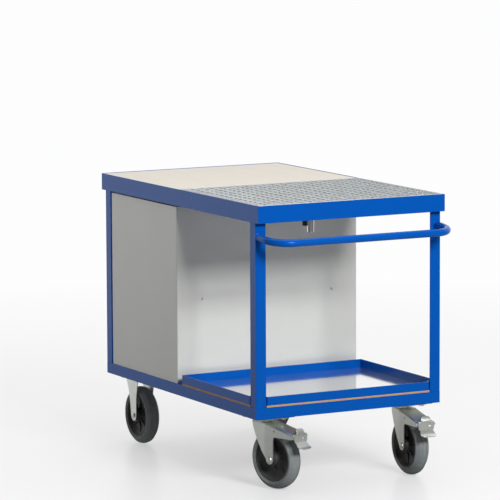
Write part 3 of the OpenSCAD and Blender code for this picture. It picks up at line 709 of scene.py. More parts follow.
class WORKBENCH_OT_worktops(bpy.types.Operator):
    """Wood panel, galvanised grating and the drip tray with its drain"""

    bl_idname = "workbench.worktops"
    bl_label = "Worktops"

    def execute(self, context):
        rounded_copy("wood_panel", 0.0008, 3)
        rounded_copy("drip_tray", 0.0005)
        self.grating()
        self.drain()
        return {"FINISHED"}

    def grating(self):
        """Load bars on edge with rounded tops, flat cross bars pressed through them."""
        lo, hi = (Vector(v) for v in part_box("grating"))
        pitch, bar, cross, cross_h = 0.0333, 0.003, 0.002, 0.012
        mesh = bmesh.new()
        for y in (lo.y, hi.y - bar):
            box(mesh, (lo.x, y, lo.z), (hi.x, y + bar, hi.z), 0.0007)
        for x in (lo.x, hi.x - bar):
            box(mesh, (x, lo.y + bar * 0.5, lo.z), (x + bar, hi.y - bar * 0.5, hi.z - 0.0002), 0.0007)
        bars = math.floor((hi.y - lo.y - bar) / pitch)
        first = lo.y + (hi.y - lo.y - bars * pitch) / 2
        for i in range(bars + 1):
            y = first + i * pitch
            if lo.y + bar < y - bar / 2 and y + bar / 2 < hi.y - bar:
                box(mesh, (lo.x + 0.001, y - bar / 2, lo.z), (hi.x - 0.001, y + bar / 2, hi.z), 0.0007)
        crosses = math.floor((hi.x - lo.x - bar) / pitch)
        first = lo.x + (hi.x - lo.x - crosses * pitch) / 2
        for i in range(crosses + 1):
            x = first + i * pitch
            if lo.x + bar < x - cross / 2 and x + cross / 2 < hi.x - bar:
                low = (x - cross / 2, lo.y + 0.001, hi.z - cross_h)
                high = (x + cross / 2, hi.y - 0.001, hi.z - 0.0002)
                box(mesh, low, high, 0.0005)
        piece("grating.bars", mesh, ["grating"], "galvanising")

    def drain(self):
        """Turned valve body with a nut, a plain end for the hose and a ribbed knob on its side."""
        lo, hi = (Vector(v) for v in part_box("drain_valve"))
        x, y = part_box("drain_knob")[0][0] + 0.011, 0.0
        r, bore = 0.0135, 0.0085
        length = hi.z - lo.z
        profile = [
            (bore, 0), (r - 0.0013, 0), (r - 0.0005, 0.0008), (r - 0.0005, 0.0215), (r, 0.022),
            (r, length - 0.022), (r - 0.0006, length - 0.0215), (r - 0.0006, length - 0.0195),
            (r, length - 0.019),
            (r, length), (bore, length),
        ]  # fmt: skip
        body = lathe(profile, 48)
        join(body, hexagon(0.0303, 0.012), Matrix.Translation((0, 0, length - 0.012)))
        knob_z = (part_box("drain_knob")[0][2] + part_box("drain_knob")[1][2]) / 2
        boss = lathe([(0.0042, 0), (0.0072, 0), (0.008, 0.0008), (0.008, 0.0066), (0.0042, 0.0066)], 32)
        join(body, boss, Matrix.Translation((0, -0.0081, knob_z - lo.z)) @ STAND_ALONG_Y)
        bmesh.ops.transform(body, matrix=Matrix.Translation((x, y, lo.z)), verts=body.verts)
        piece("drain_valve.turned", body, ["drain_valve"], "turned_steel")
        knob_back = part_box("drain_knob")[1][1]
        knob_r, ribs = 0.011, 18
        outline = []
        for k in range(ribs * 6):
            a = k * math.tau / (ribs * 6)
            outline.append(
                ((knob_r - 0.0007 + 0.0007 * math.cos(a * ribs)) * math.cos(a),
                 (knob_r - 0.0007 + 0.0007 * math.cos(a * ribs)) * math.sin(a))
            )  # fmt: skip
        knob = prism(outline, 0, 0.006)
        join(knob, lathe([(0, -0.006), (0.004, -0.006), (0.004, 0.001), (0, 0.001)], 24))
        wing = prism(rounded_outline(0.0196, 0.0062, 0.0028), 0.0055, 0.013, 0.0008)
        join(knob, wing, Matrix.Rotation(math.radians(90), 4, "Z"))
        join(knob, lathe([(0, 0.0058), (0.0102, 0.0058), (0.0095, 0.0072), (0, 0.0072)], 32))
        seat = Matrix.Translation((x, knob_back - 0.006, knob_z)) @ STAND_ALONG_Y
        bmesh.ops.transform(knob, matrix=seat, verts=knob.verts)
        piece("drain_knob.ribbed", knob, ["drain_knob"])


# ---------------------------------------------------------------- the bay and the cabinet
class WORKBENCH_OT_bay(bpy.types.Operator):
    """Open bay: plywood deck and bright floor sheet"""

    bl_idname = "workbench.bay"
    bl_label = "Open bay"

    def execute(self, context):
        rounded_copy("deck_board", 0.0005)
        rounded_copy("bay_floor_sheet", 0.0003)
        return {"FINISHED"}


class WORKBENCH_OT_cabinet(bpy.types.Operator):
    """Cabinet shell: bent sheet, top with its rail, floor with its lip, hold-down screws"""

    bl_idname = "workbench.cabinet"
    bl_label = "Cabinet"

    def execute(self, context):
        edge = context.scene.workbench_sizes.sheet_edge
        for node in ("cabinet_wrap", "cabinet_top", "cabinet_floor"):
            rounded_copy(node, edge)
        self.screws()
        rounded_copy("runner_rails", 0.0003)
        return {"FINISHED"}

    def screws(self):
        """Pan heads, threads shown as rings."""
        lo, hi = (Vector(v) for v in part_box("cabinet_screws"))
        mesh = bmesh.new()
        head = [(0, 0.0030), (0.0015, 0.0030), (0.0055, 0.0026), (0.0068, 0.0014), (0.007, 0.0), (0.003, 0.0)]
        shank = []
        depth = hi.z - 0.003 - lo.z
        for k in range(12):
            z = -depth * (k + 0.5) / 12
            shank += [(0.0030, z), (0.0026, z - depth / 24)]
        for x in (lo.x + 0.007, hi.x - 0.007):
            for y in (lo.y + 0.007, hi.y - 0.007):
                at = Matrix.Translation((x, y, hi.z - 0.003))
                join(mesh, lathe(head + shank + [(0.0022, -depth), (0, -depth)], 32), at)
        piece("cabinet_screws.turned", mesh, ["cabinet_screws"])


class WORKBENCH_OT_drawers(bpy.types.Operator):
    """Drawers: boxes with rolled rims, folded fronts and their runners, and the lock"""

    bl_idname = "workbench.drawers"
    bl_label = "Drawers"

    def execute(self, context):
        edge = context.scene.workbench_sizes.sheet_edge
        for letter in DRAWERS:
            rounded_copy(f"drawer_{letter}_front", edge)
            rounded_copy(f"drawer_{letter}_box", edge)
            rounded_copy(f"drawer_{letter}_runners", 0.0003)
        self.lock()
        return {"FINISHED"}

    def lock(self):
        """Turned lock housing with a stepped rim, barrel with its key slot and cam."""
        lo, hi = (Vector(v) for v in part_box("lock_housing"))
        x, z = (lo.x + hi.x) / 2, (lo.z + hi.z) / 2
        depth = hi.y - lo.y
        profile = [
            (0.00605, 0), (0.0072, 0), (0.0078, 0.0004), (0.0080, 0.0010), (0.0086, 0.0010), (0.0090, 0.0015),
            (0.0090, depth), (0.00605, depth),
        ]  # fmt: skip
        place = Matrix.Translation((x, hi.y, z)) @ STAND_ALONG_Y
        ring = lathe(profile, 64)
        bmesh.ops.transform(ring, matrix=place, verts=ring.verts)
        piece("lock_housing.turned", ring, ["lock_housing"], "turned_steel")
        rounded_copy("lock_barrel", 0.0003, look="turned_steel")


# ---------------------------------------------------------------- casters
def tread_profile(radius, width, rim_radius, grooves):
    """Half profile of a crowned tyre, from the rim to the middle, as (radius, offset) points."""
    half = width / 2
    side = [
        (rim_radius, half - 0.0046), (rim_radius + 0.0010, half - 0.0026),
        (rim_radius + 0.0024, half - 0.0018),
        (rim_radius + 0.0038, half - 0.0026), (rim_radius + 0.0048, half - 0.0028),
        (rim_radius + 0.0060, half - 0.0004),
        (rim_radius + 0.0085, half), (rim_radius + 0.0115, half - 0.0010),
        (rim_radius + 0.0140, half - 0.0036),
        (rim_radius + 0.0172, half - 0.0066), (rim_radius + 0.0200, half - 0.0086),
        (radius - 0.0040, half - 0.0104),
        (radius - 0.0030, half - 0.0118),
    ]  # fmt: skip
    tread, edge = [], half - 0.0118
    for k in range(grooves):
        outer = edge * (1 - k / grooves)
        crown = radius - 0.0030 * (outer / edge) ** 2
        tread += [
            (crown, outer - 0.0004), (crown - 0.0013, outer - 0.0010), (crown - 0.0014, outer - 0.0018),
            (crown + 0.0001, outer - 0.0025),
        ]  # fmt: skip
    tread[-1] = (min(tread[-1][0], radius - 0.0001), tread[-1][1])
    return side + [(min(r, radius - 0.00002), o) for r, o in tread] + [(radius, 0.0012)]


def tyre(radius, width, rim_radius, grooves):
    half = tread_profile(radius, width, rim_radius, grooves)
    profile = half + [(r, -o) for r, o in reversed(half)]
    return lathe(profile, 128)


def rim(rim_radius, width, hub_width, ribs):
    """Moulded rim: dished web, ribs on both sides, hub with bearing and dust lip."""
    half, hub = width / 2, hub_width / 2
    side = [
        (rim_radius, 0.0), (rim_radius, half - 0.0012), (rim_radius - 0.0012, half),
        (rim_radius - 0.0030, half),
        (rim_radius - 0.0045, half - 0.0012), (rim_radius - 0.0058, half - 0.0060),
        (rim_radius - 0.0085, 0.0120),
        (rim_radius - 0.0150, 0.0072), (0.040, 0.0052), (0.0300, 0.0060), (0.0250, 0.0090),
        (0.0230, hub - 0.0070),
        (0.0222, hub - 0.0050), (0.0205, hub - 0.0042), (0.0180, hub - 0.0042), (0.0176, hub - 0.0020),
        (0.0160, hub - 0.0015), (0.0120, hub - 0.0015), (0.0115, hub), (0.00605, hub),
    ]  # fmt: skip
    mesh = lathe(side + [(r, -o) for r, o in reversed(side[1:])], 96)
    for s in (-1, 1):
        for k in range(ribs):
            outline = [
                (0.0225, 0.0060), (0.0235, 0.0150), (0.034, 0.0100), (0.052, 0.0084),
                (rim_radius - 0.0066, 0.0100),
                (rim_radius - 0.0066, 0.0060),
            ]  # fmt: skip
            rib = prism([(x, s * y) for x, y in outline], -0.0016, 0.0016, 0.0005)
            join(mesh, rib, Matrix.Rotation(k * math.tau / ribs, 4, "Z") @ STAND_ALONG_Y)
    return mesh


class WORKBENCH_OT_wheels(bpy.types.Operator):
    """Four wheels: moulded rims with crowned, grooved tyres"""

    bl_idname = "workbench.wheels"
    bl_label = "Wheels"

    def execute(self, context):
        sizes = context.scene.workbench_sizes
        for kind in ("fixed", "swivel"):
            for side in SIDES:
                joint = f"fixed_wheel_{side}_spin" if kind == "fixed" else f"swivel_wheel_{side}_spin"
                at = joint_frame(joint) @ LAY_ALONG_Y
                lo, hi = (Vector(v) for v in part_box(f"{kind}_tyre_{side}"))
                radius = (hi.z - lo.z) / 2
                made = tyre(radius, 0.050, 0.074, sizes.tread_grooves)
                bmesh.ops.transform(made, matrix=at, verts=made.verts)
                piece(f"{kind}_tyre_{side}.grooved", made, [f"{kind}_tyre_{side}"], sharp=50)
                made = rim(0.074, 0.044, 2 * (FORK_HALF - FORK_SHEET) - 0.002, sizes.rim_ribs)
                bmesh.ops.transform(made, matrix=at, verts=made.verts)
                piece(f"{kind}_rim_{side}.moulded", made, [f"{kind}_rim_{side}"])
        return {"FINISHED"}


def channel(stations, width_at, t, bend):
    """A pressed channel open below: stations give (x, lower edge, upper edge) of its sides."""
    mesh = bmesh.new()
    rings = []
    for x, low, high in stations:
        half = width_at(x)
        r = min(bend, max(0.0006, high - low - 0.0002))
        outer, inner = [], []
        for sign in (-1, 1):
            arc = [k * math.pi / 2 / 6 for k in range(7)]
            if sign > 0:
                arc = arc[::-1]
            centre_y, centre_z = sign * (half - r), high - r
            side_outer = [
                (centre_y + sign * r * math.cos(a), centre_z + r * math.sin(a)) for a in arc
            ]
            ri = max(r - t, 0.0001)
            ti = half - t - ri
            side_inner = [
                (sign * (ti + ri * math.cos(a)), high - t - ri + ri * math.sin(a)) for a in arc
            ]
            foot_out, foot_in = (sign * half, low), (sign * (half - t), low)
            if sign < 0:
                outer += [foot_out, *side_outer]
                inner += [foot_in, *side_inner]
            else:
                outer += [*side_outer, foot_out]
                inner += [*side_inner, foot_in]
        section = outer + inner[::-1]
        rings.append([mesh.verts.new((x, y, max(z, low))) for y, z in section])
    n = len(rings[0])
    for a, b in zip(rings, rings[1:]):
        for k in range(n):
            m = (k + 1) % n
            mesh.faces.new([a[k], a[m], b[m], b[k]])
    half_n = n // 2
    for ring in (rings[0], rings[-1]):
        for k in range(half_n - 1):
            mesh.faces.new([ring[k], ring[k + 1], ring[n - 2 - k], ring[n - 1 - k]])
    bmesh.ops.recalc_face_normals(mesh, faces=mesh.faces)
    return mesh


def boss_arc(radius, count=8):
    """Lower half circle of a leg's round end, from -radius to radius."""
    return [
        (-radius * math.cos(k * math.pi / count), -radius * math.sin(k * math.pi / count))
        for k in range(count + 1)
    ]


def blend_line(points, steps=5):
    """Points along straight stretches, for (x, z) pairs."""
    out = [points[0]]
    for (x0, z0), (x1, z1) in zip(points, points[1:]):
        out += [(x0 + (x1 - x0) * k / steps, z0 + (z1 - z0) * k / steps) for k in range(1, steps + 1)]
    return out


def mounting_plate(length, width, low, high):
    """Caster plate with rounded corners and edges."""
    return prism(rounded_outline(length, width, 0.009), low, high, 0.0007)


def axle_hardware(half, bolt=0.006):
    """Axle bolt with a domed rivet head on one side and a locknut on the other."""
    shank = [
        (0, -half), (bolt, -half), (bolt, half + 0.006), (bolt - 0.001, half + 0.0075), (0, half + 0.0078),
    ]  # fmt: skip
    mesh = lathe(shank, 32)
    head = [(0, -0.0052), (0.004, -0.0050), (0.0078, -0.0038), (0.0094, -0.0016), (0.0096, 0.0), (0, 0.0)]
    join(mesh, lathe(head, 40), Matrix.Translation((0, 0, -half)))
    join(mesh, hexagon(0.0172, 0.0058), Matrix.Translation((0, 0, half)))
    return mesh


class WORKBENCH_OT_fixed_casters(bpy.types.Operator):
    """Fixed casters: pressed forks on their plates, and the axle bolts"""

    bl_idname = "workbench.fixed_casters"
    bl_label = "Fixed casters"

    def execute(self, context):
        axles = bmesh.new()
        for side in SIDES:
            at = joint_frame(f"fixed_wheel_{side}_spin")
            lo, hi = (Vector(v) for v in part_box(f"fixed_fork_{side}"))
            top = hi.z - at.translation.z
            plate_t, half = 0.004, FORK_HALF
            crown = top - plate_t
            left = blend_line([(-0.066, crown - 0.002), (-0.062, crown - 0.014), (-0.044, 0.092),
                               (-0.034, 0.066),
                               (-0.025, 0.030), (-0.019, 0.0)], 3)  # fmt: skip
            right = blend_line([(0.019, 0.0), (0.020, 0.060), (0.026, 0.096), (0.034, crown - 0.002)], 3)
            stations = [(x, z, crown) for x, z in left[:-1] + boss_arc(0.019) + right[1:]]
            fork = channel(stations, lambda x: half - 0.10 * max(0, -0.022 - x), FORK_SHEET, 0.007)
            round_edges(fork, 0.0005, 55, 1)
            join(fork, mounting_plate(hi.x - lo.x, hi.y - lo.y, crown, top))
            bmesh.ops.transform(fork, matrix=at, verts=fork.verts)
            piece(f"fixed_fork_{side}.pressed", fork, [f"fixed_fork_{side}"])
            join(axles, axle_hardware(half), at @ LAY_ALONG_Y)
        piece("fixed_axles.bolts", axles, ["fixed_axles"])
        return {"FINISHED"}


class WORKBENCH_OT_swivel_casters(bpy.types.Operator):
    """Swivel casters: head with its race, forked arm with a tongue, axle"""

    bl_idname = "workbench.swivel_casters"
    bl_label = "Swivel casters"

    def execute(self, context):
        for side in SIDES:
            at = joint_frame(f"swivel_wheel_{side}_spin")
            turn_at = Vector(JOINTS[f"swivel_{side}_turn"]["pos_m"])
            self.plate(side, turn_at)
            self.fork(side, at, turn_at)
            axle = axle_hardware(FORK_HALF)
            bmesh.ops.transform(axle, matrix=at @ LAY_ALONG_Y, verts=axle.verts)
            piece(f"swivel_axle_{side}.bolt", axle, [f"swivel_axle_{side}"])
        return {"FINISHED"}

    def plate(self, side, turn_at):
        lo, hi = (Vector(v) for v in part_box(f"swivel_plate_{side}"))
        top, crown = hi.z, turn_at.z
        mesh = mounting_plate(hi.x - lo.x, hi.y - lo.y, top - 0.004, top)
        low = top - 0.012
        race = [
            (0.0, top - 0.0035), (0.0, low), (0.026, low), (0.030, low + 0.0004), (0.0345, low + 0.0006),
            (0.0365, low + 0.0020), (0.0372, low + 0.0042), (0.0362, low + 0.0058), (0.0350, top - 0.0048),
            (0.0375, top - 0.0038),
        ]  # fmt: skip
        join(mesh, lathe(race, 64))
        foot = crown - 0.010
        pin = [(0, foot), (0.0058, foot), (0.006, foot + 0.0004), (0.006, low + 0.001), (0, low + 0.001)]
        join(mesh, lathe(pin, 32))
        join(mesh, hexagon(0.0205, 0.0062, 0.0008), Matrix.Translation((0, 0, foot)))
        bmesh.ops.transform(mesh, matrix=Matrix.Translation((turn_at.x, turn_at.y, 0)), verts=mesh.verts)
        piece(f"swivel_plate_{side}.pressed", mesh, [f"swivel_plate_{side}"])

    def fork(self, side, at, turn_at):
        """Legs, crown and tongue in one pressed channel that narrows behind the legs' crease."""
        crown = turn_at.z - at.translation.z
        trail = (at.translation - turn_at).to_2d().length
        pin = Vector(JOINTS[f"brake_{side}_press"]["pos_m"])
        pedal_x, pedal_z = (pin - at.translation).to_2d().length, pin.z - at.translation.z
        under_z = crown - 0.044
        left = blend_line([(-trail - 0.033, crown - 0.0035), (-trail - 0.028, 0.098), (-0.066, 0.066),
                           (-0.038, 0.024),
                           (-0.016, 0.0)], 4)  # fmt: skip
        under = [(0.0163, under_z - 0.010), (0.0185, under_z - 0.003), (0.024, under_z),
                 (0.070, under_z + 0.0005),
                 (pedal_x - 0.006, pedal_z - 0.008), (pedal_x + 0.002, pedal_z - 0.0068),
                 (pedal_x + 0.004, pedal_z - 0.003)]  # fmt: skip
        lower = left[:-1] + boss_arc(0.016) + [(0.0161, under_z - 0.020)] + under
        start, end, tip = -trail + 0.034, pedal_x + 0.004, pedal_z + 0.008

        def upper(x):
            return crown + (tip - crown) * max(0, x - start) / (end - start)

        stations = [(x, z, upper(x)) for x, z in lower]
        fork = channel(stations, lambda x: FORK_HALF - 0.14 * max(0, -0.020 - x), FORK_SHEET, 0.006)
        round_edges(fork, 0.0005, 55, 1)
        mouth = bmesh.new()
        box(mesh=mouth, lo=(pedal_x - 0.011, -0.0295, pedal_z + 0.001), hi=(pedal_x + 0.02, 0.0295, crown))
        fork = drill(fork, mouth)
        eye = lathe([(0, -0.05), (0.0028, -0.05), (0.0028, 0.05), (0, 0.05)], 24)
        eye_at = Matrix.Translation((0.021, 0, crown - 0.024)) @ LAY_ALONG_Y
        bmesh.ops.transform(eye, matrix=eye_at, verts=eye.verts)
        fork = drill(fork, eye)
        top = crown + 0.0047
        cup = [
            (0.00605, crown - 0.0004), (0.033, crown - 0.0004), (0.0328, crown + 0.0008),
            (0.0305, crown + 0.0018),
            (0.0300, top - 0.0006), (0.0294, top), (0.00605, top),
        ]  # fmt: skip
        join(fork, lathe(cup, 64), Matrix.Translation((-trail, 0, 0)))
        bmesh.ops.transform(fork, matrix=at, verts=fork.verts)
        piece(f"swivel_fork_{side}.pressed", fork, [f"swivel_fork_{side}"])


class WORKBENCH_OT_pedals(bpy.types.Operator):
    """Brake pedals: bracket, release tab, tread with its lip, pin and spring"""

    bl_idname = "workbench.pedals"
    bl_label = "Brake pedals"

    def execute(self, context):
        turns = context.scene.workbench_sizes.spring_turns
        for side in SIDES:
            at = joint_frame(f"swivel_wheel_{side}_spin")
            at.translation = Vector(JOINTS[f"brake_{side}_press"]["pos_m"])
            mesh = self.bracket()
            join(mesh, self.tab())
            join(mesh, self.tread())
            join(mesh, self.pin())
            join(mesh, self.spring(turns))
            bmesh.ops.transform(mesh, matrix=at, verts=mesh.verts)
            piece(f"brake_pedal_{side}.pressed", mesh, [f"brake_pedal_{side}"])
        return {"FINISHED"}

    def strip(self, side_view, half_widths, t):
        """A bent strip: its side view is a row of (x, z) points with a half width at each."""
        mesh = bmesh.new()
        points = [Vector((x, 0, z)) for x, z in side_view]
        rings = []
        for i, p in enumerate(points):
            along = (points[min(i + 1, len(points) - 1)] - points[max(i - 1, 0)]).normalized()
            up = Vector((-along.z, 0, along.x)) * (t / 2)
            w = half_widths[i]
            corners = ((1, -1), (1, 1), (-1, 1), (-1, -1))
            rings.append([mesh.verts.new(p + Vector((0, s * w, 0)) + k * up) for k, s in corners])
        for a, b in zip(rings, rings[1:]):
            for k in range(4):
                mesh.faces.new([a[k], a[(k + 1) % 4], b[(k + 1) % 4], b[k]])
        mesh.faces.new(rings[0][::-1])
        mesh.faces.new(rings[-1])
        bmesh.ops.recalc_face_normals(mesh, faces=mesh.faces)
        return mesh

    def bracket(self):
        """Front plate over the pin's end of the fork, with side cheeks and a slot."""
        half = 0.029
        view = [(0.0022, 0.0088), (0.0050, 0.0092), (0.0066, 0.0082), (0.0070, 0.0055), (0.0070, 0.0),
                (0.0070, -0.008), (0.0070, -0.014), (0.0068, -0.0185)]  # fmt: skip
        mesh = self.strip(view, [half] * 6 + [half - 0.001, half - 0.003], 0.0026)
        round_edges(mesh, 0.0006, 40, 2)
        slot = bmesh.new()
        box(slot, (0.0, 0.008, -0.0075), (0.014, 0.019, -0.0025), 0.0005)
        mesh = drill(mesh, slot)
        cheek = [(-0.0058, -0.006), (-0.0040, -0.0078), (0.0060, -0.0078), (0.0070, -0.014), (0.0070, 0.0075),
                 (0.002, 0.0088), (-0.0058, 0.0060)]  # fmt: skip
        for s in (-1, 1):
            plate = prism(cheek, -0.00125, 0.00125, 0.0004)
            join(mesh, plate, Matrix.Translation((0, s * (half - 0.00125), 0)) @ STAND_ALONG_Y)
        return mesh

    def tab(self):
        """Rounded release tab standing above the bracket."""
        steps = 12
        view, widths = [], []
        for k in range(steps + 1):
            t = k / steps
            view.append((0.0070 - 0.0095 * t * t, 0.0055 + 0.0205 * t))
            widths.append(0.0172 * (1 - max(0, (t - 0.62) / 0.38) ** 2.8 * 0.34))
        mesh = self.strip(view, widths, 0.0026)
        return round_edges(mesh, 0.0009, 50, 3)

    def tread(self):
        """Dished tread plate that a shoe presses, fanning out to its rounded front."""
        steps = 16
        view, widths = [], []
        for k in range(steps + 1):
            t = k / steps
            view.append((0.0070 + 0.0270 * t, -0.0165 - 0.0205 * t - 0.0035 * math.sin(math.pi * t)))
            grow = 0.0225 + 0.0062 * math.sin(math.pi * min(t * 1.2, 1) / 2)
            widths.append(grow * (1 - max(0, (t - 0.60) / 0.40) ** 2.4 * 0.42))
        mesh = self.strip(view, widths, 0.0026)
        return round_edges(mesh, 0.0009, 50, 3)

    def pin(self):
        half = FORK_HALF + 0.0038
        end = [(0.003, half - 0.0006), (0.0024, half), (0, half)]
        profile = [(r, -z) for r, z in reversed(end)] + end
        mesh = lathe(profile, 24)
        bmesh.ops.transform(mesh, matrix=LAY_ALONG_Y, verts=mesh.verts)
        return mesh

    def spring(self, turns):
        count = turns * 16
        coil = 0.0046
        path = []
        for k in range(count + 1):
            a = k * math.tau / 16
            path.append((coil * math.cos(a), -0.010 - 0.0135 * k / count, coil * math.sin(a)))
        return tube([(0.0046, -0.010, -0.010), *path, (0.0046, -0.0235, -0.009)], 0.0008, 8)


class WORKBENCH_OT_caster_bolts(bpy.types.Operator):
    """Caster bolts with washers and nuts"""

    bl_idname = "workbench.caster_bolts"
    bl_label = "Caster bolts"

    def execute(self, context):
        mesh = bmesh.new()
        lo, hi = (Vector(v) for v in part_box("caster_bolts"))
        plate_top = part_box("fixed_fork_back")[1][2]
        for kind in ("fixed", "swivel"):
            for side in SIDES:
                node = f"fixed_fork_{side}" if kind == "fixed" else f"swivel_plate_{side}"
                low, high = (Vector(v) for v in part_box(node))
                middle = (low + high) / 2
                for sx in (-1, 1):
                    for sy in (-1, 1):
                        x = middle.x + sx * ((high.x - low.x) / 2 - BOLT_INSET_X)
                        y = middle.y + sy * ((high.y - low.y) / 2 - BOLT_INSET_Y)
                        self.bolt(mesh, x, y, plate_top, lo.z, hi.z)
        piece("caster_bolts.turned", mesh, ["caster_bolts"])
        return {"FINISHED"}

    def bolt(self, mesh, x, y, plate_top, low, high):
        down = Matrix.Rotation(math.radians(180), 4, "X")
        join(mesh, hexagon(0.0155, 0.0058), Matrix.Translation((x, y, plate_top - 0.004)) @ down)
        shank = [(0, low + 0.002), (0.005, low + 0.002), (0.005, high - 0.001), (0.0042, high), (0, high)]
        join(mesh, lathe(shank, 24), Matrix.Translation((x, y, 0)))
        washer = lathe([(0.0052, 0.0), (0.0100, 0.0), (0.0100, 0.0016), (0.0052, 0.0016)], 32)
        join(mesh, washer, Matrix.Translation((x, y, plate_top + 0.005)))
        join(mesh, hexagon(0.0155, 0.0064), Matrix.Translation((x, y, plate_top + 0.0066)))


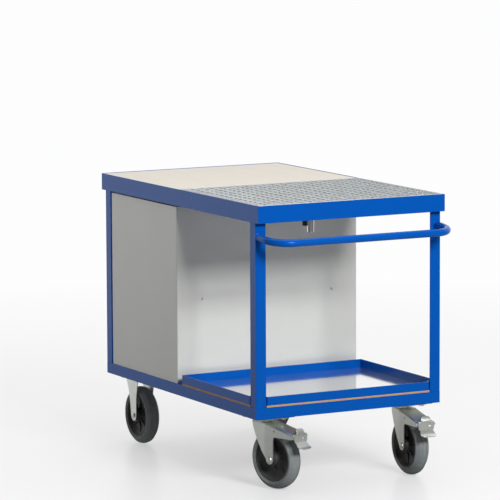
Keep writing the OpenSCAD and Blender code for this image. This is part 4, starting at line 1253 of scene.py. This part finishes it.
# ---------------------------------------------------------------- the studio
class WORKBENCH_OT_stage(bpy.types.Operator):
    """Pale floor, soft lights and the camera"""

    bl_idname = "workbench.stage"
    bl_label = "Studio"

    def execute(self, context):
        scene = context.scene
        scene.view_settings.view_transform = "Standard"
        self.floor(scene)
        self.surround(scene)
        light = scene.workbench_light
        self.lamp("Key", (5.2, 0.2, 3.2), (0, 0, 0.5), 2.2, 1.4, light.key)
        self.lamp("Top", (-0.4, -0.3, 4.2), (0, 0, 0.9), 4.0, 4.0, light.top)
        self.camera(scene)
        return {"FINISHED"}

    def floor(self, scene):
        """White floor that brightens into the surround away from the bench."""
        f = Finish("Studio_floor", Roughness=0.30, Specular_IOR_Level=0.5)
        tone = tuple(scene.workbench_light.floor)
        flat = f.place((1, 1, 0))
        distance = f.node("ShaderNodeVectorMath", {"operation": "LENGTH"}, {0: flat}, out="Value")
        seen = f.node("ShaderNodeLightPath", out="Is Camera Ray")
        levels = ((0.0, 0.42), (0.14, 0.70), (0.45, 1.0))
        fade = f.grey(f.ramp(distance * 0.1, *((place, (level,) * 3) for place, level in levels)))
        cloud = f.noise(0.6, 2)
        clean = f.mix(cloud, shade(tone, 0.99), shade(tone, 1.01))
        f.feed("Base Color", f.mix(seen, shade(tone, 0.42), clean))
        behind = f.grey(f.ramp(0.25 - f.part_of_place(0) * 0.1, (0.18, (0, 0, 0)), (0.62, (1, 1, 1))))
        fade = fade * (seen + (1 - seen) * behind)
        glow = f.node("ShaderNodeEmission", None, {"Color": (0.985, 0.985, 0.99, 1), "Strength": 1.0})
        blend = f.node("ShaderNodeMixShader", None, {0: fade, 1: Value(f, f.shader.outputs[0]), 2: glow})
        f.tree.links.new(blend.out, f.tree.nodes["Material Output"].inputs["Surface"])
        mesh = bmesh.new()
        bmesh.ops.create_circle(mesh, cap_ends=True, segments=96, radius=60)
        data = bpy.data.meshes.new("studio_floor")
        mesh.to_mesh(data)
        mesh.free()
        data.materials.append(f.material)
        floor = bpy.data.objects.new("studio_floor", data)
        scene.collection.objects.link(floor)

    def surround(self, scene):
        """White all round, dimmer beyond the handle end."""
        world = bpy.data.worlds.new("Studio")
        world.use_nodes = True
        scene.world = world
        tree = world.node_tree
        coords = tree.nodes.new("ShaderNodeTexCoord")
        dot = tree.nodes.new("ShaderNodeVectorMath")
        dot.operation = "DOT_PRODUCT"
        dot.inputs[1].default_value = (0.878, -0.478, 0.0)
        ramp = tree.nodes.new("ShaderNodeValToRGB")
        bright = scene.workbench_light.surround
        stops = ((0.0, 1.0 * bright), (0.27, 1.0 * bright), (0.43, 0.08 * bright), (1.0, 0.035 * bright))
        while len(ramp.color_ramp.elements) < len(stops):
            ramp.color_ramp.elements.new(0.5)
        for element, (place, level) in zip(ramp.color_ramp.elements, stops):
            element.position, element.color = place, (level, level * 0.99, level * 0.97, 1)
        half = tree.nodes.new("ShaderNodeMath")
        half.operation = "MULTIPLY_ADD"
        half.inputs[1].default_value = half.inputs[2].default_value = 0.5
        tree.links.new(coords.outputs["Generated"], dot.inputs[0])
        tree.links.new(dot.outputs["Value"], half.inputs[0])
        tree.links.new(half.outputs[0], ramp.inputs[0])
        seen = tree.nodes.new("ShaderNodeLightPath")
        mix = tree.nodes.new("ShaderNodeMix")
        mix.data_type = "RGBA"
        mix.inputs[7].default_value = (0.99, 0.99, 0.995, 1)
        tree.links.new(seen.outputs["Is Camera Ray"], mix.inputs[0])
        tree.links.new(ramp.outputs[0], mix.inputs[6])
        tree.links.new(mix.outputs[2], tree.nodes["Background"].inputs[0])

    def lamp(self, name, place, at, width, height, power):
        data = bpy.data.lights.new(name, "AREA")
        data.shape, data.size, data.size_y, data.energy = "RECTANGLE", width, height, power
        lamp = bpy.data.objects.new(name, data)
        lamp.location = place
        lamp.rotation_mode = "QUATERNION"
        lamp.rotation_quaternion = (Vector(at) - Vector(place)).to_track_quat("-Z", "Y")
        bpy.context.scene.collection.objects.link(lamp)

    def camera(self, scene):
        yaw, pitch, roll = (math.radians(a) for a in (151.843, 7.422, -0.237))
        forward = Vector((math.cos(yaw) * math.cos(pitch), math.sin(yaw) * math.cos(pitch), -math.sin(pitch)))
        right = Vector((math.sin(yaw), -math.cos(yaw), 0))
        down = forward.cross(right)
        rolled_right = math.cos(roll) * right - math.sin(roll) * down
        rolled_down = math.sin(roll) * right + math.cos(roll) * down
        turn = Matrix((rolled_right, -rolled_down, -forward)).transposed()
        data = bpy.data.cameras.new("Camera")
        data.sensor_width, data.lens = 36, 259.68
        data.clip_start, data.clip_end = 0.1, 200
        camera = bpy.data.objects.new("Camera", data)
        camera.matrix_world = Matrix.Translation((10.63875, -5.794, 2.298)) @ turn.to_4x4()
        scene.collection.objects.link(camera)
        scene.camera = camera


OPERATORS = (
    WORKBENCH_OT_stage,
    WORKBENCH_OT_frame,
    WORKBENCH_OT_welds,
    WORKBENCH_OT_handle,
    WORKBENCH_OT_worktops,
    WORKBENCH_OT_bay,
    WORKBENCH_OT_cabinet,
    WORKBENCH_OT_drawers,
    WORKBENCH_OT_wheels,
    WORKBENCH_OT_fixed_casters,
    WORKBENCH_OT_swivel_casters,
    WORKBENCH_OT_pedals,
    WORKBENCH_OT_caster_bolts,
)


class WORKBENCH_PT_panel(bpy.types.Panel):
    """Lists the workbench's pieces and settings."""

    bl_label = "Workbench"
    bl_idname = "WORKBENCH_PT_panel"
    bl_space_type = "VIEW_3D"
    bl_region_type = "UI"
    bl_category = "Workbench"

    def draw(self, context):
        for group in ("workbench_colours", "workbench_sizes", "workbench_light"):
            settings = getattr(context.scene, group)
            for name in settings.__annotations__:
                self.layout.prop(settings, name)
        for operator in OPERATORS:
            self.layout.operator(operator.bl_idname)


GROUPS = {
    "workbench_colours": WorkbenchColours,
    "workbench_sizes": WorkbenchSizes,
    "workbench_light": WorkbenchLight,
}


def register():
    for cls in (*GROUPS.values(), *OPERATORS, WORKBENCH_PT_panel):
        bpy.utils.register_class(cls)
    for name, group in GROUPS.items():
        setattr(bpy.types.Scene, name, PointerProperty(type=group))


def unregister():
    for name in GROUPS:
        delattr(bpy.types.Scene, name)
    for cls in reversed((*GROUPS.values(), *OPERATORS, WORKBENCH_PT_panel)):
        bpy.utils.unregister_class(cls)


def dress_nodes():
    """Gives every CAD node that still shows the finish of its slot."""
    for node, part in NODES.items():
        part.data.materials.clear()
        part.data.materials.append(finish_for(SLOT_OF[node]))


def main():
    register()
    dress_nodes()
    for operator in OPERATORS:
        group, name = operator.bl_idname.split(".")
        getattr(getattr(bpy.ops, group), name)()


if __name__ == "__main__":
    main()
